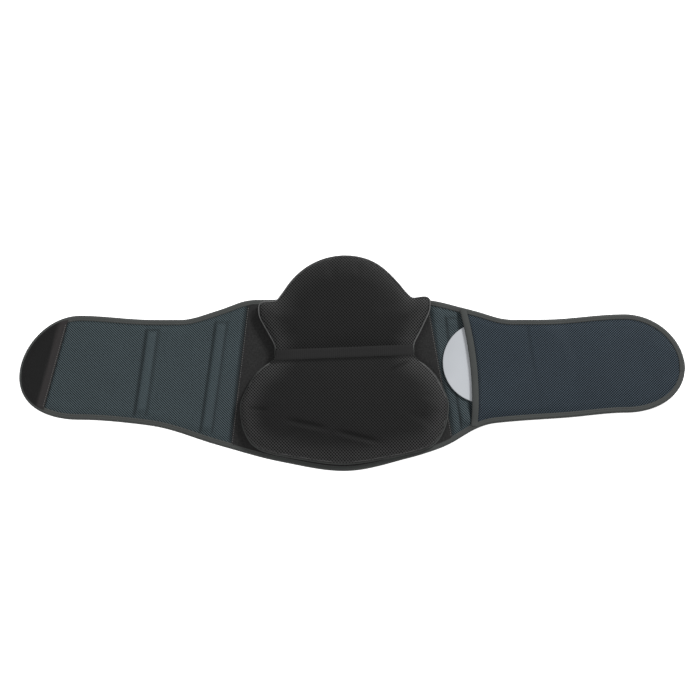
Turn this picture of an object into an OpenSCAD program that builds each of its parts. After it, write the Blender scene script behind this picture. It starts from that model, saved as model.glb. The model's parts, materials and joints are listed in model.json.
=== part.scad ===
// Lumbar support belt, laid open with the side that faces the wearer's back upward.
// X runs along the belt, Y towards the wearer's head, Z towards the wearer.
// The origin is under the middle of the whole belt, on the surface that it lies on.

/* [Belt outline] */
// Length from the origin to the left end, which carries the hook patch
left_len = 475; // [450:1:560]
// Length from the origin to the right end, which carries the pocket
right_len = 475; // [450:1:560]
// Place of the middle of the back along the belt
back_x = -11; // [-20:1:0]
// Height of the back's top edge beside the cushion
shoulder_top = 92; // [80:1:100]
// Depth of the bottom edge at the middle of the back
back_bottom = 153.4; // [150:0.2:180]
// Height of the left wing's top edge near its end
left_end_top = 69; // [60:1:80]
// Depth of the left wing's bottom edge near its end
left_end_bottom = 80.5; // [65:0.5:95]
// Height of the right wing's top edge near its end
right_end_top = 71; // [62:1:80]
// Depth of the right wing's bottom edge near its end
right_end_bottom = 70.5; // [62:0.5:90]
// Height of the top edge where each wing is narrowest
waist_top = 63; // [60:1:72]
// Depth of the bottom edge where the left wing leaves the back
left_waist_bottom = 88.5; // [76:0.5:98]
// Depth of the bottom edge where the right wing leaves the back
right_waist_bottom = 86.5; // [78:0.5:95]
// Length of the rounded stretch at each end
end_round = 86; // [70:1:105]
// How far the left end's point hangs below its middle
left_droop = 13; // [0:1:20]
// How far the right end's point hangs below its middle
right_droop = 6; // [0:1:20]

/* [Fabric layers] */
// Thickness of the outer fabric with its loop face
shell_t = 2.5; // [2:0.1:4]
// Thickness of the mesh lining
lining_t = 2; // [1.5:0.1:4]
// Thickness of the binding tape
tape_t = 0.8; // [0.5:0.1:1]
// Width of the binding tape on each face
tape_w = 8; // [6:0.5:11]
// Thickness of the brushed panel that the cushion sticks to
velour_t = 1.2; // [0.8:0.1:2]
// Thickness of the hook patch on the left end
hook_t = 2.4; // [2:0.1:3]
// Clearance between pieces that are sewn or pushed together
fit = 0.1; // [0.05:0.01:0.2]

/* [Fold lines] */
// Gap between two lengths of belt at a fold line
fold_gap = 0.4; // [0.3:0.1:1]
// Fold line between the back and the left side, on the centre line
left_root_x = -161; // [-172:1:-160]
// Fold line between the two stays of the left wing, on the centre line
left_mid_x = -242; // [-250:1:-236]
// Fold line between the left stay and the hook patch, on the centre line
left_end_x = -362; // [-375:1:-345]
// Fold line between the back and the right side, on the centre line
right_root_x = 128; // [127.7:0.1:128.1]
// Fold line in the right wing beyond the plate, on the centre line
right_mid_x = 323; // [315:1:340]
// Fold line before the right wing's rounded end, on the centre line
right_end_x = 400; // [385:1:415]

/* [Stays] */
// Width of each spring-steel stay
stay_w = 12; // [8:1:14]
// Thickness of each stay
stay_t = 1.2; // [0.8:0.1:1.4]
// Width of the tape that is sewn over each stay
channel_w = 24; // [20:1:28]
// Thickness of that tape
channel_t = 0.4; // [0.3:0.1:0.4]
// Distance that each stay ends short of the binding
stay_end_gap = 8; // [5:1:15]
// Place of the left inner stay
left_stay_in_x = -197; // [-205:1:-192]
// Place of the left outer stay
left_stay_out_x = -293; // [-305:1:-281]
// Place of the right inner stay
right_stay_in_x = 153; // [150:1:155]
// Place of the right outer stay
right_stay_out_x = 262; // [250:1:285]

/* [Pocket and plate] */
// Thickness of the mesh panel that forms the pocket
pocket_t = 2; // [1.5:0.1:3]
// Height of the space inside the pocket
pocket_gap = 3.2; // [3:0.1:3.9]
// Place of the pocket's mouth on the centre line
mouth_x = 170; // [168:1:176]
// How far the mouth curves back at its ends
mouth_bow = 5; // [0:1:8]
// Width of the tape round the mouth
mouth_w = 9; // [6:1:12]
// Thickness of the plate
plate_t = 2.2; // [1.5:0.1:2.3]
// Radius of the plate's two round ends
plate_r = 58; // [45:1:58]
// Overall length of the plate
plate_len = 126; // [117:1:140]
// Place of the plate's inner end when it is pulled out
plate_x = 129.3; // [129.3:0.1:135]
// Height of the plate's middle above the belt's centre line
plate_y = 1; // [-4:1:2]
// Width of the bevel round the plate's edge
plate_bevel = 0.5; // [0.2:0.1:0.7]

/* [Cushion] */
// Height of the cushion's padding above its back sheet
pad_t = 19.2; // [14:0.2:26]
// Radius of the dome at the top of the cushion
dome_r = 98; // [85:1:105]
// Height of that dome's centre above the centre line
dome_y = 55; // [45:1:60]
// Half the cushion's width at its shoulders
pad_shoulder = 122; // [105:1:123]
// Half the cushion's width at its waist
pad_waist = 98; // [85:1:103]
// Half the cushion's width at its lower lobe
pad_lobe = 148; // [130:1:148]
// Depth of the cushion's bottom edge
pad_bottom = 143; // [125:1:143]
// Thickness of the cushion's mesh cover
cover_t = 2; // [1.5:0.5:3]
// Thickness of the cushion's back sheet
pad_back_t = 1; // [0.8:0.1:2]
// Thickness of the hook strips on the back sheet
strip_t = 0.8; // [0.5:0.1:1.5]
// Thickness of the stiffening plates in the cushion
pad_plate_t = 1.6; // [1:0.1:3]
// Width of the band across the cushion
band_w = 15; // [10:1:16]
// Thickness of that band
band_t = 1.5; // [1:0.1:2]
// Height of the band's middle line above the centre line
band_y = 17; // [14:1:20]
// Tilt of the band, its right end higher, in degrees
band_tilt = 2.3; // [0:0.1:2.5]
// Depth that the band sinks into the cushion
band_sink = 5; // [3:0.5:7]
// Clearance between the cushion and the panel below it
pad_gap = 0.3; // [0.3:0.1:0.6]

/* [Hidden] */

// Colours
binding_colour = [0.26, 0.27, 0.27];
mesh_colour = [0.21, 0.25, 0.27];
velour_colour = [0.22, 0.22, 0.22];
hook_colour = [0.13, 0.13, 0.13];
shell_colour = [0.16, 0.17, 0.18];
steel_colour = [0.7, 0.7, 0.72];
plate_colour = [0.78, 0.79, 0.81];
pad_colour = [0.14, 0.14, 0.14];
band_colour = [0.17, 0.17, 0.17];
foam_colour = [0.55, 0.55, 0.5];

// Slant of each line that crosses the belt, in degrees from the Y axis
left_root_slant = 6.4;
left_stay_slant = 7.5;
left_end_slant = 10;
hook_slant = 14.3;
right_root_slant = -10;
right_stay_slant = -7.8;
mouth_slant = -4.9;
right_mid_slant = -5;
right_end_slant = -3;

// Heights of the layers above the surface that the belt lies on
lining_z = shell_t;
top_z = lining_z + lining_t;
binding_top = top_z + channel_t;
fold_z = binding_top + fit;
panel_z = top_z + pocket_gap;
panel_top = panel_z + pocket_t;
pocket_top = panel_top + channel_t;
plate_z = top_z + channel_t + 0.3;
velour_top = top_z + velour_t;
strip_z = velour_top + pad_gap;
pad_back_z = strip_z + strip_t;
cover_z = pad_back_z + pad_back_t;
cover_top = cover_z + pad_t;
foam_z = cover_z + pad_plate_t + 2 * fit;
band_z = cover_top - band_sink;

// Depth to which shell, lining and pocket panel reach into the binding's slot
slot_inset = tape_t;
tongue_inset = tape_t + fit;
seam_inset = tape_w / 2;
body_inset = tape_w + fit;

// Straight lines that cross the belt: place on the centre line and slant
left_root = [left_root_x, left_root_slant];
left_mid = [left_mid_x, left_stay_slant];
left_end = [left_end_x, left_end_slant];
hook_seam = [-left_len + 53, hook_slant];
right_root = [right_root_x, right_root_slant];
right_mid = [right_mid_x, right_mid_slant];
right_end = [right_end_x, right_end_slant];
beyond_left = [-left_len - 50, 0];
beyond_right = [right_len + 50, 0];

// Half the length of the tools that cut the belt, past its edges on both sides
reach = 250;
edge_step = 15;
arc_steps = 14;

// Stations of the two long edges, each as its place along the belt and its height
top_edge = [
    [-left_len + end_round, left_end_top],
    [back_x - 274, waist_top],
    [back_x - 235, waist_top],
    [back_x - 178, (waist_top + shoulder_top) / 2],
    [back_x - 132, shoulder_top],
    [back_x + 112, shoulder_top],
    [back_x + 180, (waist_top + shoulder_top) / 2],
    [back_x + 238, waist_top],
    [back_x + 280, waist_top],
    [right_len - end_round, right_end_top]
];
bottom_edge = [
    [-left_len + end_round, -left_end_bottom],
    [back_x - 278, -left_waist_bottom],
    [back_x - 178, -left_waist_bottom - 0.44 * (back_bottom - left_waist_bottom)],
    [back_x - 92, -left_waist_bottom - 0.79 * (back_bottom - left_waist_bottom)],
    [back_x, -back_bottom],
    [back_x + 92, -right_waist_bottom - 0.72 * (back_bottom - right_waist_bottom)],
    [back_x + 148, -right_waist_bottom - 0.44 * (back_bottom - right_waist_bottom)],
    [back_x + 184, -right_waist_bottom - 0.12 * (back_bottom - right_waist_bottom)],
    [back_x + 206, -right_waist_bottom],
    [back_x + 320, -right_waist_bottom - 0.58 * (right_end_bottom - right_waist_bottom)],
    [right_len - end_round, -right_end_bottom]
];

// Smooth edge through stations, level at both ends and at every highest and lowest station
function rise(p, i) = (p[i + 1].y - p[i].y) / (p[i + 1].x - p[i].x);
function is_turn(p, i) = i == 0 || i == len(p) - 1 || rise(p, i - 1) * rise(p, i) <= 0;
function slope(p, i) = is_turn(p, i) ? 0
    : 2 * rise(p, i - 1) * rise(p, i) / (rise(p, i - 1) + rise(p, i));
function span(p, x, i = 0) = i >= len(p) - 2 || x < p[i + 1].x ? i : span(p, x, i + 1);
function blend(p, i, w, t) =
    p[i].y * (1 + 2 * t) * pow(1 - t, 2) + slope(p, i) * w * t * pow(1 - t, 2)
    + p[i + 1].y * t * t * (3 - 2 * t) + slope(p, i + 1) * w * t * t * (t - 1);
function edge_y(p, x) =
    let (i = span(p, x), w = p[i + 1].x - p[i].x)
    blend(p, i, w, (x - p[i].x) / w);

// Points of one rounded end, from its start angle to its stop angle
function end_arc(side, length, top, bottom, droop, from, to) = [
    for (i = [0 : arc_steps])
    let (a = from + (to - from) * i / arc_steps)
    [
        side * (length - end_round + end_round * cos(a)),
        (top - bottom) / 2 + (top + bottom) / 2 * sin(a) - droop * pow(cos(a), 2)
    ]
];
function edge_points(p) =
    let (n = round((p[len(p) - 1].x - p[0].x) / edge_step), w = (p[len(p) - 1].x - p[0].x) / n)
    [for (i = [1 : n - 1]) [p[0].x + i * w, edge_y(p, p[0].x + i * w)]];
function reversed(p) = [for (i = [len(p) - 1 : -1 : 0]) p[i]];
outline = concat(
    edge_points(bottom_edge),
    end_arc(1, right_len, right_end_top, right_end_bottom, right_droop, -90, 90),
    reversed(edge_points(top_edge)),
    end_arc(-1, left_len, left_end_top, left_end_bottom, left_droop, 90, -90)
);

// A closed outline drawn counter-clockwise, moved inward by d
function unit(v) = v / norm(v);
function inset(p, d) = [
    for (i = [0 : len(p) - 1])
    let (t = unit(p[(i + 1) % len(p)] - p[(i + len(p) - 1) % len(p)]))
    p[i] + d * [-t.y, t.x]
];

function line_x(line, y) = line.x + y * tan(line.y);
function shifted(line, d) = [line.x + d, line.y];
function mouth(y) = mouth_x + y * tan(mouth_slant) - mouth_bow * pow(y / right_end_top, 2);

// The belt's outline moved inward by d, between two heights
module layer(d, z0, z1) {
    translate([0, 0, z0])
        linear_extrude(z1 - z0)
            polygon(inset(outline, d));
}

// Everything between two lines that cross the belt
module between(from, to) {
    translate([0, 0, -reach])
        linear_extrude(2 * reach)
            polygon([
                [line_x(from, -reach), -reach],
                [line_x(to, -reach), -reach],
                [line_x(to, reach), reach],
                [line_x(from, reach), reach]
            ]);
}

// One length of belt, from one fold line to the next, with half the gap at each
module length_of_belt(from, to) {
    intersection() {
        children();
        between(shifted(from, fold_gap / 2), shifted(to, -fold_gap / 2));
    }
}

// Everything on the pocket's side of the mouth, moved along the belt by d
module behind_mouth(d, z0, z1) {
    translate([0, 0, z0])
        linear_extrude(z1 - z0)
            polygon(concat(
                [[right_len + reach, reach]],
                [for (y = [100 : -20 : -100]) [mouth(y) + d, y]],
                [[right_len + reach, -reach]]
            ));
}

module shell(from, to) {
    color(shell_colour)
        length_of_belt(from, to)
            union() {
                layer(body_inset, 0, shell_t);
                layer(tongue_inset, tape_t + fit, shell_t);
            }
}

module lining_layers() {
    layer(body_inset, lining_z, top_z);
    layer(tongue_inset, lining_z, binding_top - tape_t - fit);
}

module lining(from, to) {
    color(mesh_colour)
        length_of_belt(from, to)
            union() lining_layers();
}

module low_binding() {
    difference() {
        layer(0, 0, binding_top);
        layer(tape_w, -1, binding_top + 1);
        layer(slot_inset, tape_t, binding_top - tape_t);
    }
}

module binding(from, to) {
    color(binding_colour)
        length_of_belt(from, to)
            low_binding();
}

// The part of the binding that closes the pocket, standing on the low binding
module pocket_wall() {
    difference() {
        layer(0, binding_top - tape_t, pocket_top);
        layer(tape_w, 0, pocket_top + 1);
        layer(seam_inset, 0, panel_z);
        layer(slot_inset, panel_z - fit, pocket_top - tape_t);
    }
}

module pocket_binding(from, to) {
    color(binding_colour)
        length_of_belt(from, to)
            union() {
                low_binding();
                pocket_wall();
            }
}

module pocket_layers() {
    layer(body_inset, panel_z, panel_top);
    layer(tongue_inset, panel_z, pocket_top - tape_t - fit);
}

module pocket_panel(from, to) {
    color(mesh_colour)
        length_of_belt(from, to)
            union() pocket_layers();
}

// Puts a stay or its tape across the belt at x, slanted as the stays are
module across(x, slant) {
    translate([x, stay_mid(x), 0])
        rotate([0, 0, -slant])
            children();
}
function stay_mid(x) = (edge_y(top_edge, x) + edge_y(bottom_edge, x)) / 2;
function stay_len(x) =
    (edge_y(top_edge, x) - edge_y(bottom_edge, x)) * 0.96 - 2 * (tape_w + stay_end_gap);

// A flat strip with round ends, centred on the origin and long in Y
module strip(w, length, z0, z1) {
    translate([0, 0, z0])
        union() {
            translate([-w / 2, -(length - w) / 2, 0])
                cube([w, length - w, z1 - z0]);
            for (s = [-1, 1])
                translate([0, s * (length - w) / 2, 0])
                    cylinder(h = z1 - z0, d = w, $fn = 48);
        }
}

module stay(x, slant) {
    color(steel_colour)
        across(x, slant)
            strip(stay_w, stay_len(x), lining_z + fit, lining_z + fit + stay_t);
}

module stay_slot(x, slant) {
    across(x, slant)
        strip(stay_w + 4 * fit, stay_len(x) + 4 * fit, lining_z - 1, lining_z + 2 * fit + stay_t);
}

module stay_tape(x, slant) {
    color(mesh_colour)
        intersection() {
            layer(body_inset, top_z, top_z + channel_t);
            across(x, slant)
                strip(channel_w, stay_len(x) + stay_end_gap, top_z, top_z + channel_t);
        }
}

// Back
module back_shell() shell(left_root, right_root);
module back_lining() lining(left_root, right_root);
module back_binding() binding(left_root, right_root);
module velour_panel() {
    color(velour_colour)
        intersection() {
            layer(body_inset, top_z, velour_top);
            between(shifted(left_root, 2), shifted(right_root, -4));
        }
}

// Left wing
module left_side_shell() shell(left_mid, left_root);
module left_side_lining() {
    difference() {
        lining(left_mid, left_root);
        stay_slot(left_stay_in_x, left_stay_slant);
    }
}
module left_side_binding() binding(left_mid, left_root);
module left_inner_stay() stay(left_stay_in_x, left_stay_slant);
module left_inner_stay_tape() stay_tape(left_stay_in_x, left_stay_slant);
module left_front_shell() shell(left_end, left_mid);
module left_front_lining() {
    difference() {
        lining(left_end, left_mid);
        stay_slot(left_stay_out_x, left_stay_slant);
    }
}
module left_front_binding() binding(left_end, left_mid);
module left_outer_stay() stay(left_stay_out_x, left_stay_slant);
module left_outer_stay_tape() stay_tape(left_stay_out_x, left_stay_slant);
module left_end_shell() shell(beyond_left, left_end);
module left_end_lining() {
    color(mesh_colour)
        intersection() {
            lining(beyond_left, left_end);
            between(shifted(hook_seam, fit), left_end);
        }
}
module left_end_binding() binding(beyond_left, left_end);
module hook_patch() {
    color(hook_colour)
        intersection() {
            union() {
                layer(body_inset, lining_z, lining_z + hook_t);
                layer(tongue_inset, lining_z, binding_top - tape_t - fit);
            }
            between(beyond_left, hook_seam);
        }
}

// Right wing
module right_side_shell() shell(right_root, right_mid);
module right_side_lining() {
    difference() {
        lining(right_root, right_mid);
        stay_slot(right_stay_in_x, right_stay_slant);
        stay_slot(right_stay_out_x, right_stay_slant);
    }
}
module right_side_binding() {
    color(binding_colour)
        length_of_belt(right_root, right_mid)
            union() {
                low_binding();
                intersection() {
                    pocket_wall();
                    behind_mouth(0, 0, pocket_top);
                }
            }
}
module right_inner_stay() stay(right_stay_in_x, right_stay_slant);
module right_inner_stay_tape() {
    intersection() {
        stay_tape(right_stay_in_x, right_stay_slant);
        between(shifted(right_root, 1), right_mid);
    }
}
module right_outer_stay() stay(right_stay_out_x, right_stay_slant);
module right_outer_stay_tape() stay_tape(right_stay_out_x, right_stay_slant);
// Heights of the thin lip of pocket panel that the mouth's tape folds round
lip_z = panel_z + 0.5 + fit;
lip_top = pocket_top - tape_t - fit;
module right_side_pocket() {
    color(mesh_colour)
        length_of_belt(right_root, right_mid)
            union() {
                intersection() {
                    union() pocket_layers();
                    behind_mouth(mouth_w + fit, 0, pocket_top);
                }
                intersection() {
                    layer(body_inset, lip_z, lip_top);
                    behind_mouth(tape_t + fit, 0, pocket_top);
                }
            }
}
module pocket_mouth_tape() {
    color(binding_colour)
        difference() {
            intersection() {
                layer(body_inset, panel_z, pocket_top);
                behind_mouth(0, 0, pocket_top);
            }
            behind_mouth(mouth_w, 0, pocket_top + 1);
            behind_mouth(tape_t, lip_z - fit, lip_top + fit);
        }
}
module right_front_shell() shell(right_mid, right_end);
module right_front_lining() lining(right_mid, right_end);
module right_front_binding() pocket_binding(right_mid, right_end);
module right_front_pocket() pocket_panel(right_mid, right_end);
module right_end_shell() shell(right_end, beyond_right);
module right_end_lining() lining(right_end, beyond_right);
module right_end_binding() pocket_binding(right_end, beyond_right);
module right_end_pocket() pocket_panel(right_end, beyond_right);

// Half the cross-section of a flat disc with a bevelled rim
function bevelled(r, t, b) = [[0, 0], [r - b, 0], [r, b], [r, t - b], [r - b, t], [0, t]];
module plate() {
    run = plate_len - 2 * plate_r;
    color(plate_colour)
        translate([plate_x + plate_r, plate_y, plate_z])
            union() {
                for (x = [0, run])
                    translate([x, 0, 0])
                        rotate_extrude($fn = 128)
                            polygon(bevelled(plate_r, plate_t, plate_bevel));
                for (s = [0, 1])
                    mirror([0, s, 0])
                        rotate([90, 0, 90])
                            linear_extrude(run)
                                polygon(bevelled(plate_r, plate_t, plate_bevel));
            }
}

// Cushion
// The outline's right half, from the top of the dome down, with the middle of the back as x = 0
shoulder_y = shoulder_top - 4;
dome_stop = asin((shoulder_y - dome_y) / dome_r);
waist_high = band_y + 10;
waist_low = band_y - 11;
lobe_y = -0.47 * pad_bottom;
function dome_points() = [
    for (a = [90 : -7.5 : dome_stop + 3])
    [dome_r * cos(a), dome_y + dome_r * sin(a)]
];
upper_side = [
    [dome_r * cos(dome_stop) + 4, shoulder_y],
    [pad_shoulder - 4, shoulder_y],
    [pad_shoulder, shoulder_y - 4],
    [pad_shoulder - 1, shoulder_y - 20],
    [pad_waist, waist_high]
];
lower_side = [
    [pad_waist, waist_low],
    [pad_lobe - 24, waist_low - 19],
    [pad_lobe - 4, lobe_y + 20],
    [pad_lobe, lobe_y],
    [pad_lobe - 6, lobe_y - 30],
    [pad_lobe - 27, lobe_y - 54],
    [0.42 * pad_lobe, -0.945 * pad_bottom]
];
bottom_middle = [0, -pad_bottom];
// Points on a smooth curve from p[i] to p[i + 1], given the points on either side
function curve(a, b, c, d, t) =
    0.5 * (2 * b + (c - a) * t + (2 * a - 5 * b + 4 * c - d) * t * t + (3 * b - a - 3 * c + d) * t * t * t);
lobe_guide = concat(lower_side, [bottom_middle, [-0.42 * pad_lobe, -0.945 * pad_bottom]]);
function lobe_points() = [
    for (i = [0 : len(lobe_guide) - 3], t = [0 : 0.25 : 0.75])
    curve(lobe_guide[max(i - 1, 0)], lobe_guide[i], lobe_guide[i + 1], lobe_guide[i + 2], t)
];
half_pad = concat(dome_points(), upper_side, lobe_points());
// The cushion sits a little askew: its right side is higher by this share of its width
pad_skew = 0.012;
pad_right = [for (p = half_pad) [p.x, p.y]];
pad_left = [for (i = [len(half_pad) - 1 : -1 : 1]) [-half_pad[i].x, half_pad[i].y]];
pad_outline = reversed([
    for (p = concat(pad_right, [bottom_middle], pad_left))
    [back_x + p.x, p.y + pad_skew * p.x]
]);

module pad_layer(d, z0, z1) {
    translate([0, 0, z0])
        linear_extrude(z1 - z0)
            polygon(inset(pad_outline, d));
}

// The groove that the cross band lies in, grown by d on its sides and lowered by d
module band_groove(d) {
    translate([back_x, band_y, band_z - band_t - fit - d])
        rotate([0, 0, band_tilt])
            translate([-reach, -band_w / 2 - fit - d, 0])
                cube([2 * reach, band_w + 2 * (fit + d), cover_top]);
}

// Everything above or below the band's middle line, less half the gap between the two foams
module above_band(side) {
    translate([back_x, band_y, 0])
        rotate([0, 0, band_tilt])
            translate([-reach, side > 0 ? fit : -2 * reach - fit, -reach])
                cube([2 * reach, 2 * reach, 2 * reach]);
}

module pad_cover() {
    color(pad_colour)
        difference() {
            pad_layer(0, cover_z, cover_top);
            difference() {
                pad_layer(cover_t, cover_z - 1, cover_top - cover_t);
                band_groove(cover_t);
            }
            band_groove(0);
        }
}

module pad_back() {
    color(velour_colour)
        pad_layer(0, pad_back_z, cover_z);
}

module pad_foam(side) {
    color(foam_colour)
        intersection() {
            difference() {
                pad_layer(cover_t + fit, foam_z, cover_top - cover_t - fit);
                band_groove(cover_t + fit);
            }
            above_band(side);
        }
}
module pad_upper_foam() pad_foam(1);
module pad_lower_foam() pad_foam(-1);

module pad_plate(side) {
    color(plate_colour)
        intersection() {
            pad_layer(cover_t + fit, cover_z + fit, cover_z + fit + pad_plate_t);
            above_band(side);
        }
}
module pad_upper_plate() pad_plate(1);
module pad_lower_plate() pad_plate(-1);

// A rectangular hook strip under the cushion, centred at a height y
hook_strip_len = 120;
hook_strip_w = 30;
module pad_hook(y) {
    color(hook_colour)
        translate([back_x - hook_strip_len / 2, y - hook_strip_w / 2, strip_z])
            cube([hook_strip_len, hook_strip_w, strip_t]);
}
module pad_hook_upper() pad_hook(60);
module pad_hook_lower() pad_hook(-80);

// The band lies in its groove and folds down the cushion's waist at both ends
module pad_cross_band() {
    half = pad_waist + fit + 0.3;
    color(band_colour)
        translate([back_x, band_y, 0])
            rotate([0, 0, band_tilt])
                union() {
                    translate([-half - band_t, -band_w / 2, band_z - band_t])
                        cube([2 * (half + band_t), band_w, band_t]);
                    for (s = [0, 1])
                        mirror([s, 0, 0])
                            translate([half, -band_w / 2, pad_back_z])
                                cube([band_t, band_w, band_z - pad_back_z]);
                }
}

back_shell();
back_lining();
back_binding();
velour_panel();
left_side_shell();
left_side_lining();
left_side_binding();
left_inner_stay();
left_inner_stay_tape();
left_front_shell();
left_front_lining();
left_front_binding();
left_outer_stay();
left_outer_stay_tape();
left_end_shell();
left_end_lining();
left_end_binding();
hook_patch();
right_side_shell();
right_side_lining();
right_side_binding();
right_inner_stay();
right_inner_stay_tape();
right_outer_stay();
right_outer_stay_tape();
right_side_pocket();
pocket_mouth_tape();
right_front_shell();
right_front_lining();
right_front_binding();
right_front_pocket();
right_end_shell();
right_end_lining();
right_end_binding();
right_end_pocket();
plate();
pad_cover();
pad_back();
pad_upper_foam();
pad_lower_foam();
pad_upper_plate();
pad_lower_plate();
pad_hook_upper();
pad_hook_lower();
pad_cross_band();
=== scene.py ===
"""Lumbar support belt, laid open: the fabric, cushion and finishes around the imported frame.

All sizes are in metres. X runs along the belt, Y towards the wearer's head and Z towards the wearer.
"""
import json
import math

import bmesh
import bpy
import numpy as np
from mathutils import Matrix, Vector
from mathutils.bvhtree import BVHTree
from mathutils.kdtree import KDTree


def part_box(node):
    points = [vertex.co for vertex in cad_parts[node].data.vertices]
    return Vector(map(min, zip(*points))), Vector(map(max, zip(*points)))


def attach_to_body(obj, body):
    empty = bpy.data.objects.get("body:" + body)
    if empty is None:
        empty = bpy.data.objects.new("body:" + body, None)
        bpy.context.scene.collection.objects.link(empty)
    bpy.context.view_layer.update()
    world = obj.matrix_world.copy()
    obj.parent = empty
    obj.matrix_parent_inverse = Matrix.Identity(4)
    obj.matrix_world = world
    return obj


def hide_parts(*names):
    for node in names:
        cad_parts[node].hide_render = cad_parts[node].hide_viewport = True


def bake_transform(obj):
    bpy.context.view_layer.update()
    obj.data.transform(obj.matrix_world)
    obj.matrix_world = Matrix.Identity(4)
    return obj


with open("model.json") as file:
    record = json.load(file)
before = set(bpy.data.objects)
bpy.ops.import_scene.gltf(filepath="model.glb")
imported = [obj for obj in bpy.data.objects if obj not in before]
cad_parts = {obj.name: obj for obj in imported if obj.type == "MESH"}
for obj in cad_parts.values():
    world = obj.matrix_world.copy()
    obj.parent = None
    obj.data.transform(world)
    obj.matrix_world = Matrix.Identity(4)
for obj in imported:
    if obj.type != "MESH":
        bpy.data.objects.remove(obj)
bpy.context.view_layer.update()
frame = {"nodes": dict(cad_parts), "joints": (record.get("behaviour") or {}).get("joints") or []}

bl_info = {
    "name": "Lumbar Support Belt",
    "version": (1, 0, 0),
    "blender": (4, 5, 0),
    "location": "3D View > Sidebar > Belt",
    "description": "Fabric, cushion, plate and finishes of a lumbar support belt",
    "category": "Add Mesh",
}

MM = 0.001
NODES = frame["nodes"]
JOINTS = {joint["name"]: joint for joint in frame["joints"]}


# ---------------------------------------------------------------- sizes and colours

def rgb(r, g, b):
    """A colour from 0-255 display values to linear light."""
    def linear(c):
        c = c / 255
        return c / 12.92 if c <= 0.04045 else ((c + 0.055) / 1.055) ** 2.4
    return (linear(r), linear(g), linear(b))


def length(name, text, value):
    return bpy.props.FloatProperty(name=name, description=text, default=value, unit="LENGTH")


def colour(name, text, value):
    return bpy.props.FloatVectorProperty(
        name=name, description=text, default=value, subtype="COLOR", size=3, min=0, max=1
    )


class BeltSizes(bpy.types.PropertyGroup):
    grid: length("Grid", "Distance between the points of the fabric's mesh", 2.2 * MM)
    edge_round: length("Edge rounding", "Stretch over which fabric swells up from a seam", 9 * MM)
    swell: length("Swell", "Height that the mesh lining swells between its seams", 1.3 * MM)
    ridge: length("Stay ridge", "Height of the ridge over each stay", 2.6 * MM)
    ridge_width: length("Ridge width", "Width of the ridge over each stay", 13 * MM)
    tape_rise: length("Tape rise", "Height of the binding above the lining beside it", 1.0 * MM)
    stitch: length("Stitch", "Length of one stitch", 2.1 * MM)
    stitch_gap: length("Stitch pitch", "Distance from one stitch to the next", 3.3 * MM)
    cushion_rise: length("Cushion rise", "Most that the cushion swells in the cloth simulation", 7 * MM)
    cushion_slope: length("Cushion slope", "How far the cushion's walls lean in", 4.5 * MM)
    cushion_voxel: length("Cushion voxel", "Voxel size of the cushion before the simulation", 4.5 * MM)


class BeltColours(bpy.types.PropertyGroup):
    mesh: colour("Wing mesh", "Yarn of the wings' spacer mesh", rgb(66, 77, 81))
    cushion: colour("Cushion mesh", "Yarn of the cushion's cover", rgb(28, 28, 28))
    velour: colour("Velour", "Brushed panel under the cushion", rgb(42, 42, 42))
    binding: colour("Binding", "Tape round the edges", rgb(60, 62, 61))
    hook: colour("Hook", "Hook patch and hook strips", rgb(18, 18, 18))
    loop: colour("Outer face", "Brushed loop fabric of the outer face", rgb(44, 48, 50))
    band: colour("Band", "Ribbed band across the cushion", rgb(30, 30, 30))
    plate: colour("Plate", "Plastic of the sliding plate", rgb(153, 156, 160))
    thread: colour("Thread", "Sewing thread", rgb(84, 84, 84))


# ---------------------------------------------------------------- materials

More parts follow.
